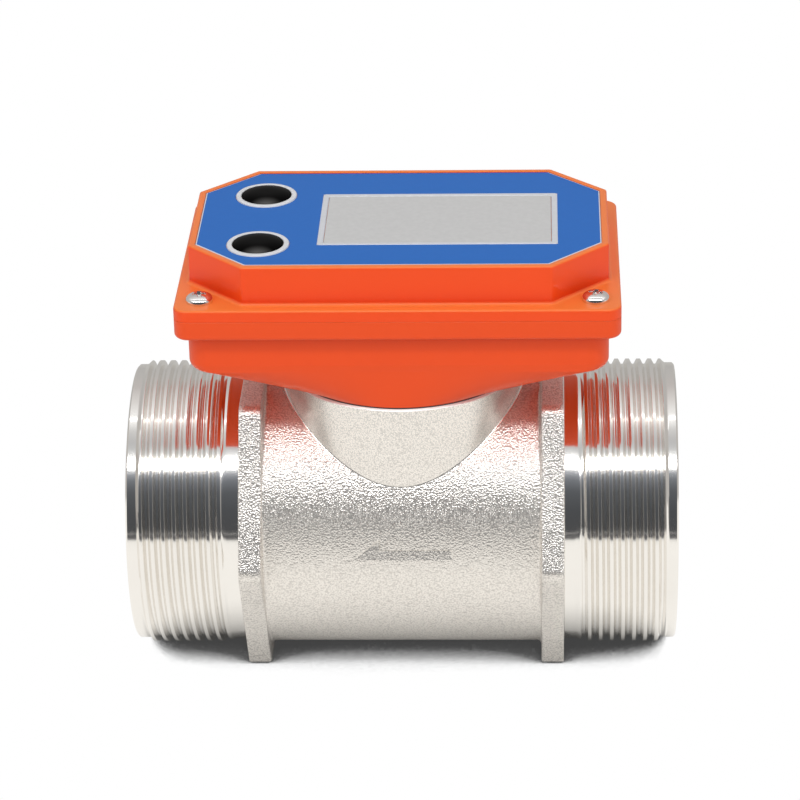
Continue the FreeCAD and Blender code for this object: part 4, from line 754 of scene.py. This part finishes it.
def cast_neck():
    """Neck whose foot is rounded by a ball that rolls between it and the barrel."""
    turn = np.linspace(0, 2 * math.pi, 360, endpoint=False)
    away_x, away_y = np.cos(turn), np.sin(turn)

    def ring(radius, height):
        return np.column_stack([radius * away_x, radius * away_y, np.broadcast_to(height, turn.shape)])

    def saddle(radius, pipe):
        """A ring that lies on a pipe of the given radius."""
        lying = ring(radius, 0.0)
        lying[:, 2] = np.sqrt(pipe ** 2 - lying[:, 1] ** 2)
        return lying

    rings = [ring(PIN_HOLE, WELL_FLOOR), ring(WELL_RADIUS, WELL_FLOOR), ring(WELL_RADIUS, RECESS_FLOOR),
             ring(RECESS_RADIUS, RECESS_FLOOR), ring(RECESS_RADIUS, NECK_TOP - RECESS_LEAD),
             ring(RECESS_RADIUS + RECESS_LEAD, NECK_TOP)]
    rings += [ring(NECK_RADIUS + out, NECK_TOP + up) for out, up in NECK_RIM]
    centre = saddle(NECK_RADIUS + NECK_FILLET, BARREL + NECK_FILLET)
    to_neck = np.column_stack([-away_x, -away_y, np.zeros_like(turn)])
    to_pipe = np.column_stack([np.zeros_like(turn), -centre[:, 1], -centre[:, 2]]) / (BARREL + NECK_FILLET)
    for share in np.linspace(0, 1, 7):
        way = to_neck * (1 - share) + to_pipe * share
        way /= np.linalg.norm(way, axis=1)[:, None]
        rings.append(centre + NECK_FILLET * way)
    sunk = rings[-1].copy()
    sunk[:, 1:] *= NECK_SUNK / BARREL
    rings.append(sunk)
    rings += [saddle(radius, NECK_CLOSED) for radius in (*NECK_LOWER, PIN_HOLE)]
    neck = new_piece("cast_neck", *skin(rings), "meter", "cast_steel", ["meter_body"], crease=40,
                     finish="fine_cast")
    rim_start, rim_low = NECK_RADIUS + NECK_RIM[0][0] + 0.01, NECK_TOP + NECK_RIM[-1][1] + 0.02
    second_finish(neck, "rim_steel", lambda x, y, z: z > rim_low and math.hypot(x, y) > rim_start)


# ---- Machined ends --------------------------------------------------------------------------

def thread_wave():
    """Stations of one pitch and the thread's depth below its crest at each, 55 degrees between flanks."""
    steep = 90 - FLANK
    depth = (PITCH - THREAD_CREST - THREAD_ROOT) / 2 / math.tan(math.radians(FLANK))
    trim = THREAD_ROUND * math.tan(math.radians(steep) / 2)
    bend = np.radians(np.linspace(0, steep, 4))
    crest_end = THREAD_CREST / 2 - trim
    root_start = PITCH / 2 - THREAD_ROOT / 2 + trim
    crest = [(crest_end + THREAD_ROUND * math.sin(t), THREAD_ROUND * (1 - math.cos(t))) for t in bend]
    root = [(root_start - THREAD_ROUND * math.sin(t), depth - THREAD_ROUND * (1 - math.cos(t))) for t in bend]
    half = [(0.0, 0.0)] + crest + root[::-1] + [(PITCH / 2, depth)]
    return np.array(half + [(PITCH - x, d) for x, d in half[1:-1]][::-1])


def threaded_end(name, side):
    """Machined end: hexagon face, relief, helical thread, land, mouth and bore, turned to its side."""
    turn = np.linspace(0, 2 * math.pi, 361)
    wave = thread_wave()
    length = THREAD_END - RELIEF_END
    turns = int(length / PITCH) + 3
    stations = np.concatenate([wave[:, 0] + PITCH * (n - 1) for n in range(turns)])
    depths = np.tile(wave[:, 1], turns)
    last = int(np.argmax(stations >= length)) + 1
    reach = hexagon_reach(turn)

    def ring(x, radius):
        x, radius = np.broadcast_to(x, turn.shape), np.broadcast_to(radius, turn.shape)
        return np.column_stack([side * x, -side * radius * np.sin(turn), radius * np.cos(turn)])

    rings = [ring(HEX_END - TUCK, reach - FACE_INSET + FACE_LIP), ring(HEX_END, reach - FACE_INSET),
             ring(HEX_END, RELIEF + RELIEF_CHAMFER), ring(HEX_END + RELIEF_CHAMFER, RELIEF)]
    for station, depth in zip(stations[:last], depths):
        x = station + PITCH * turn / (2 * math.pi)
        top = np.minimum(RELIEF + (CREST - RELIEF) * np.clip(x / TOP_RUN_IN, 0, 1),
                         LAND + (CREST - LAND) * np.clip((length - x) / TOP_RUN_OUT, 0, 1))
        cut = smooth(x / THREAD_RUN_IN) * np.clip((length - x) / THREAD_RUN_OUT, 0, 1)
        beyond = np.maximum(x - length, 0)
        rings.append(ring(RELIEF_END + np.minimum(x, length) + LAND_PACE * beyond, top - depth * cut))
    profile = [(HALF_LENGTH - LAND_CHAMFER, LAND), (HALF_LENGTH, LAND - LAND_CHAMFER),
               (HALF_LENGTH, BORE + MOUTH_CHAMFER), (HALF_LENGTH - MOUTH_CHAMFER, BORE),
               (GROOVE_END, BORE), (GROOVE_END, GROOVE), (GROOVE_START, GROOVE), (GROOVE_START, BORE),
               (SEAT_END, BORE), (SEAT_END, SEAT), (0.0, SEAT)] + SLEEVE + [(HEX_END - TUCK, SLEEVE_COLLAR)]
    rings += [ring(x, radius) for x, radius in profile]
    points, faces = skin(rings, closed=True)
    seam = len(turn) - 1
    faces = [face for face in faces if face[0] % len(turn) != seam]
    end = new_piece(name, points, faces, "meter", "cast_steel", ["meter_body"], crease=40, weld=WELD,
                    finish="turned_steel")
    second_finish(end, "fine_cast", lambda x, y, z: abs(x) < HEX_END + FACE_BAND)


# ---- Display head ---------------------------------------------------------------------------

def quarter(start, end, count):
    """Sine and cosine at even steps from one angle to another, in degrees."""
    return [(math.sin(t), math.cos(t)) for t in np.radians(np.linspace(start, end, count))]


def lower_housing():
    """Moulded bowl: dark seal band as painted shade for the gap under the collar, collar, a swell to the box
    with its bend, flange, and the cavity.
    """
    rings = []

    def put(outline, height):
        rings.append(level(outline, height))

    collar = split_round(COLLAR, COLLAR_BEARING, COLLAR_SPREAD)
    for radius, height in [(COLLAR - SEAL_SHADE_INSET, NECK_TOP), (COLLAR - SEAL_SHADE_INSET, SEAL_SHADE_TOP), (COLLAR, SWELL_START)]:
        put(collar * (radius / COLLAR), height)
    bend = [(BOX[0] - BEND * (1 - s), BOX[1] - BEND_INSET * c, BOX_LOW + BEND * (1 - c))
            for s, c in quarter(BEND_START, 90, 9)]
    rim = rounded_box(bend[0][0], bend[0][1], BOX[2])
    for share in np.linspace(0, 1, 17)[1:]:
        put(collar * (1 - share) + rim * share, SWELL_START + (bend[0][2] - SWELL_START) * share)
    for half_x, half_y, height in bend[1:]:
        put(rounded_box(half_x, half_y, BOX[2]), height)
    put(rounded_box(*BOX), FLANGE_LOW - BOX_FILLET)
    for s, c in quarter(0, 90, 5)[1:]:
        put(rounded_box(*BOX, inset=-BOX_FILLET * (1 - c)), FLANGE_LOW - BOX_FILLET + BOX_FILLET * s)
    for s, c in quarter(90, 0, 7):
        put(rounded_box(*FLANGE, inset=FLANGE_ROUND * (1 - c)), FLANGE_LOW + FLANGE_ROUND * (1 - s))
    put(rounded_box(*FLANGE), PARTING - TUCK - PARTING_CHAMFER)
    put(rounded_box(*FLANGE, inset=PARTING_CHAMFER), PARTING - TUCK)
    cavity = (BOX[0] - WALL, BOX[1] - WALL, CAVITY_CORNER)
    put(rounded_box(*cavity, inset=-CAVITY_LEAD), PARTING - TUCK)
    put(rounded_box(*cavity), BOX_LOW + CAVITY_EDGE)
    put(split_round(COLLAR - WALL, COLLAR_BEARING, COLLAR_SPREAD), NECK_TOP + CAVITY_FLOOR)
    housing = new_piece("orange_housing", *skin(rings), "meter", "orange_plastic", ["lower_housing"], crease=40)
    # painted shade: the band under the collar takes the black seal finish
    second_finish(housing, "seal_rubber", lambda x, y, z: z < (SEAL_SHADE_TOP + SWELL_START) / 2)


def hollowed(piece, cutters):
    """Cuts the cutters from the piece and takes them away."""
    piece.modifiers.clear()
    for cutter in cutters:
        change = piece.modifiers.new("cut", "BOOLEAN")
        change.operation, change.solver, change.object = "DIFFERENCE", "EXACT", cutter
    bpy.context.view_layer.update()
    graph = bpy.context.evaluated_depsgraph_get()
    mesh = bpy.data.meshes.new_from_object(piece.evaluated_get(graph))
    piece.modifiers.clear()
    piece.data = mesh
    for cutter in cutters:
        bpy.data.objects.remove(cutter, do_unlink=True)
    flat_walls(piece)


def cover():
    """Flange, chamfered platform with a bed for the label, and cuts for the window and the buttons."""
    rings = []

    def put(outline, height):
        rings.append(level(outline, height))

    put(chamfered_box(*PLATFORM, inset=WALL), COVER_TOP - ROOF)
    put(chamfered_box(*PLATFORM, inset=WALL), PARTING + TUCK)
    put(rounded_box(*FLANGE, inset=PARTING_CHAMFER), PARTING + TUCK)
    put(rounded_box(*FLANGE), PARTING + TUCK + PARTING_CHAMFER)
    for s, c in quarter(0, 90, 6):
        put(rounded_box(*FLANGE, inset=COVER_ROUND * (1 - c)), SCREW_SEAT - COVER_ROUND * (1 - s))
    for s, c in quarter(0, 90, 8):
        put(chamfered_box(*PLATFORM, inset=-PLATFORM_FOOT * (1 - s)), SCREW_SEAT + PLATFORM_FOOT * (1 - c))
    for s, c in quarter(0, 90, 6):
        put(chamfered_box(*PLATFORM, inset=PLATFORM_ROUND * (1 - c)), COVER_TOP - PLATFORM_ROUND * (1 - s))
    put(chamfered_box(*PLATFORM, inset=LABEL_BED - BED_CHAMFER), COVER_TOP)
    put(chamfered_box(*PLATFORM, inset=LABEL_BED), COVER_TOP - BED_LIP)
    put(chamfered_box(*PLATFORM, inset=LABEL_BED), label_low[2])
    piece = new_piece("orange_cover", *skin(rings), "meter", "orange_plastic", ["upper_cover"], crease=40,
                      finish="cover_plastic")

    heights = (COVER_TOP - CUT_BELOW, COVER_TOP + CUT_ABOVE)
    low, high = box_mm("lcd_panel")
    half = (high - low) / 2 - WINDOW_EDGE
    outline = rounded_box(half[0], half[1], WINDOW_CORNER) + middle_of(low, high)
    window = [level(outline, height) for height in heights]
    cutters = [mesh_object("cut_window", *skin(window), "orange_plastic")]
    for name in ("mode_button", "reset_button"):
        hole = turned([(RING_INNER, height) for height in heights], middle_of(*box_mm(name)))
        cutters.append(mesh_object("cut_" + name, *skin(hole), "orange_plastic"))
    hollowed(piece, cutters)


def button_parts():
    """Two crowned caps, each riding on its own button, and the rings round them."""
    ring_low, ring_top = (corner[2] for corner in box_mm("button_bezels"))
    ring_top += RING_PROUD
    rim = ring_top + CAP_PROUD
    round_inner, round_outer = RING_INNER + RING_INNER_ROUND, RING_OUTER - RING_OUTER_ROUND
    profile = [(RING_INNER, ring_low), (RING_INNER, ring_top - RING_INNER_ROUND)] \
        + arc((round_inner, ring_top - RING_INNER_ROUND), RING_INNER_ROUND, 180, 90, 4) \
        + arc((round_outer, ring_top - RING_OUTER_ROUND), RING_OUTER_ROUND, 90, 0, 5) + [(RING_OUTER, ring_low)]
    skins = []
    for name in ("mode_button", "reset_button"):
        low, high = box_mm(name)
        about = middle_of(low, high)
        skirt_low, skirt_top = low[2] + SKIRT_HEIGHT, rim - CAP_DEPTH
        cap = [(CAP * r, rim + CAP_CROWN * (1 - r ** CAP_CURVE)) for r in np.linspace(0.004, 1, 24)]
        cap += [(CAP, skirt_top), (CAP_SKIRT, skirt_top - SKIRT_SLOPE), (CAP_SKIRT, skirt_low),
                (STEM, skirt_low), (STEM, low[2]), (0.01 * STEM, low[2])]
        new_piece(name + "_cap", *skin(turned(cap, about)), name, "button_plastic", [name], crease=40)
        skins.append(skin(turned(profile, about), closed=True))
    new_piece("button_rims", *joined(skins), "meter", "button_ring", ["button_bezels"], crease=40)


def bezel():
    """Silver frame with a chamfer on its outer and on its inner edge."""
    low, high = box_mm("display_bezel")
    middle, half = middle_of(low, high), (high[:2] - low[:2]) / 2
    inner = (half[0] - BEZEL_WIDTH_X, half[1] - BEZEL_WIDTH_Y)
    rings = []
    spread = BEZEL_OVERHANG
    for out, height in [(spread, low[2]), (spread, high[2] - spread), (0.0, high[2])]:
        rings.append(level(rounded_box(half[0], half[1], BEZEL_CORNER, -out) + middle, height))
    for out, height in [(BEZEL_CHAMFER, high[2]), (0.0, high[2] - BEZEL_CHAMFER), (0.0, low[2])]:
        outline = rounded_box(inner[0] + out, inner[1] + out, BEZEL_INNER_CORNER)
        rings.append(level(outline + middle, height))
    new_piece("silver_bezel", *skin(rings, closed=True), "meter", "bezel_plastic", ["display_bezel"], crease=25)


def screw(about, spin, low, high):
    """Skin of one domed head with a crosswise recess, and its shank."""
    height = high - SCREW_SEAT
    turn = np.linspace(0, 2 * math.pi, 96, endpoint=False)
    rings = turned([(SHANK, low), (SHANK, SCREW_SEAT), (HEAD, SCREW_SEAT)], (0.0, 0.0))
    for share in [1.0, *np.linspace(0.985, 0.0, 40)]:
        x, y = share * HEAD * np.cos(turn), share * HEAD * np.sin(turn)
        dome = math.sqrt(max(1 - share ** HEAD_CURVE, 0))
        top = SCREW_SEAT + height * (HEAD_RIM + (1 - HEAD_RIM) * dome)
        a = np.abs(x * math.cos(spin) + y * math.sin(spin))
        b = np.abs(-x * math.sin(spin) + y * math.cos(spin))
        arm = np.minimum(np.maximum(a / RECESS_ARM, b / RECESS_HALF),
                         np.maximum(b / RECESS_ARM, a / RECESS_HALF))
        floor = SCREW_SEAT + height * RECESS_LEVEL + RECESS_SLOPE * np.maximum(a, b)
        z = np.where(floor < top, top + (floor - top) * smooth((1 - arm) / RECESS_WALL + 0.5), top)
        if not share:
            x, y = 0.001 * np.cos(turn), 0.001 * np.sin(turn)
        rings.append(np.column_stack([x, y, z]))
    return skin([ring + np.array([*about, 0]) for ring in rings])


def cover_screws():
    """The cover's four screws as one piece, each turned to its own angle."""
    low, high = box_mm("cover_screws")
    skins = [screw((sx * (high[0] - HEAD), sy * (high[1] - HEAD)), math.radians(degrees), low[2], high[2])
             for (sx, sy), degrees in SCREW_TURNS.items()]
    new_piece("domed_screws", *joined(skins), "meter", "screw_steel", ["cover_screws"], crease=35)


# ---- The scene ------------------------------------------------------------------------------

bpy.context.scene.view_settings.view_transform = "Standard"
add_camera()
add_world()
add_floor()
add_flag()
for name, lamp in LAMPS.items():
    add_lamp(name, **lamp)

materials = {
    "cast_steel": cast_steel("cast_steel", 2700, 0.115 * MM, 0.74, 0.30),
    "hex_cast": cast_steel("hex_cast", 3000, 0.085 * MM, 0.64, 0.30),
    "fine_cast": cast_steel("fine_cast", 3400, 0.018 * MM, 0.74, 0.22),
    "rim_steel": plain("rim_steel", (0.95, 0.94, 0.92), 0.30, 0.35),
    "turned_steel": turned_steel(),
    # orange plastics: upright colour, then the lighter flat colour that paints top light
    "orange_plastic": orange_plastic("orange_plastic", (0.94, 0.082, 0.006), (0.97, 0.14, 0.02)),
    "cover_plastic": orange_plastic("cover_plastic", (1.0, 0.080, 0.005), (1.0, 0.235, 0.048)),
    "label_film": label_film(),
    "button_plastic": button_plastic(),
    **{slot: plain(slot, *finish) for slot, finish in FINISHES.items()},
}
for entry in record["subparts"]:
    shown = frame["nodes"][entry["node"]].data.materials
    shown.clear()
    shown.append(materials[entry["material_slot"]])

cast_barrel()
cast_neck()
threaded_end("threaded_end_inlet", 1)
threaded_end("threaded_end_outlet", -1)
lower_housing()
cover()
button_parts()
bezel()
cover_screws()
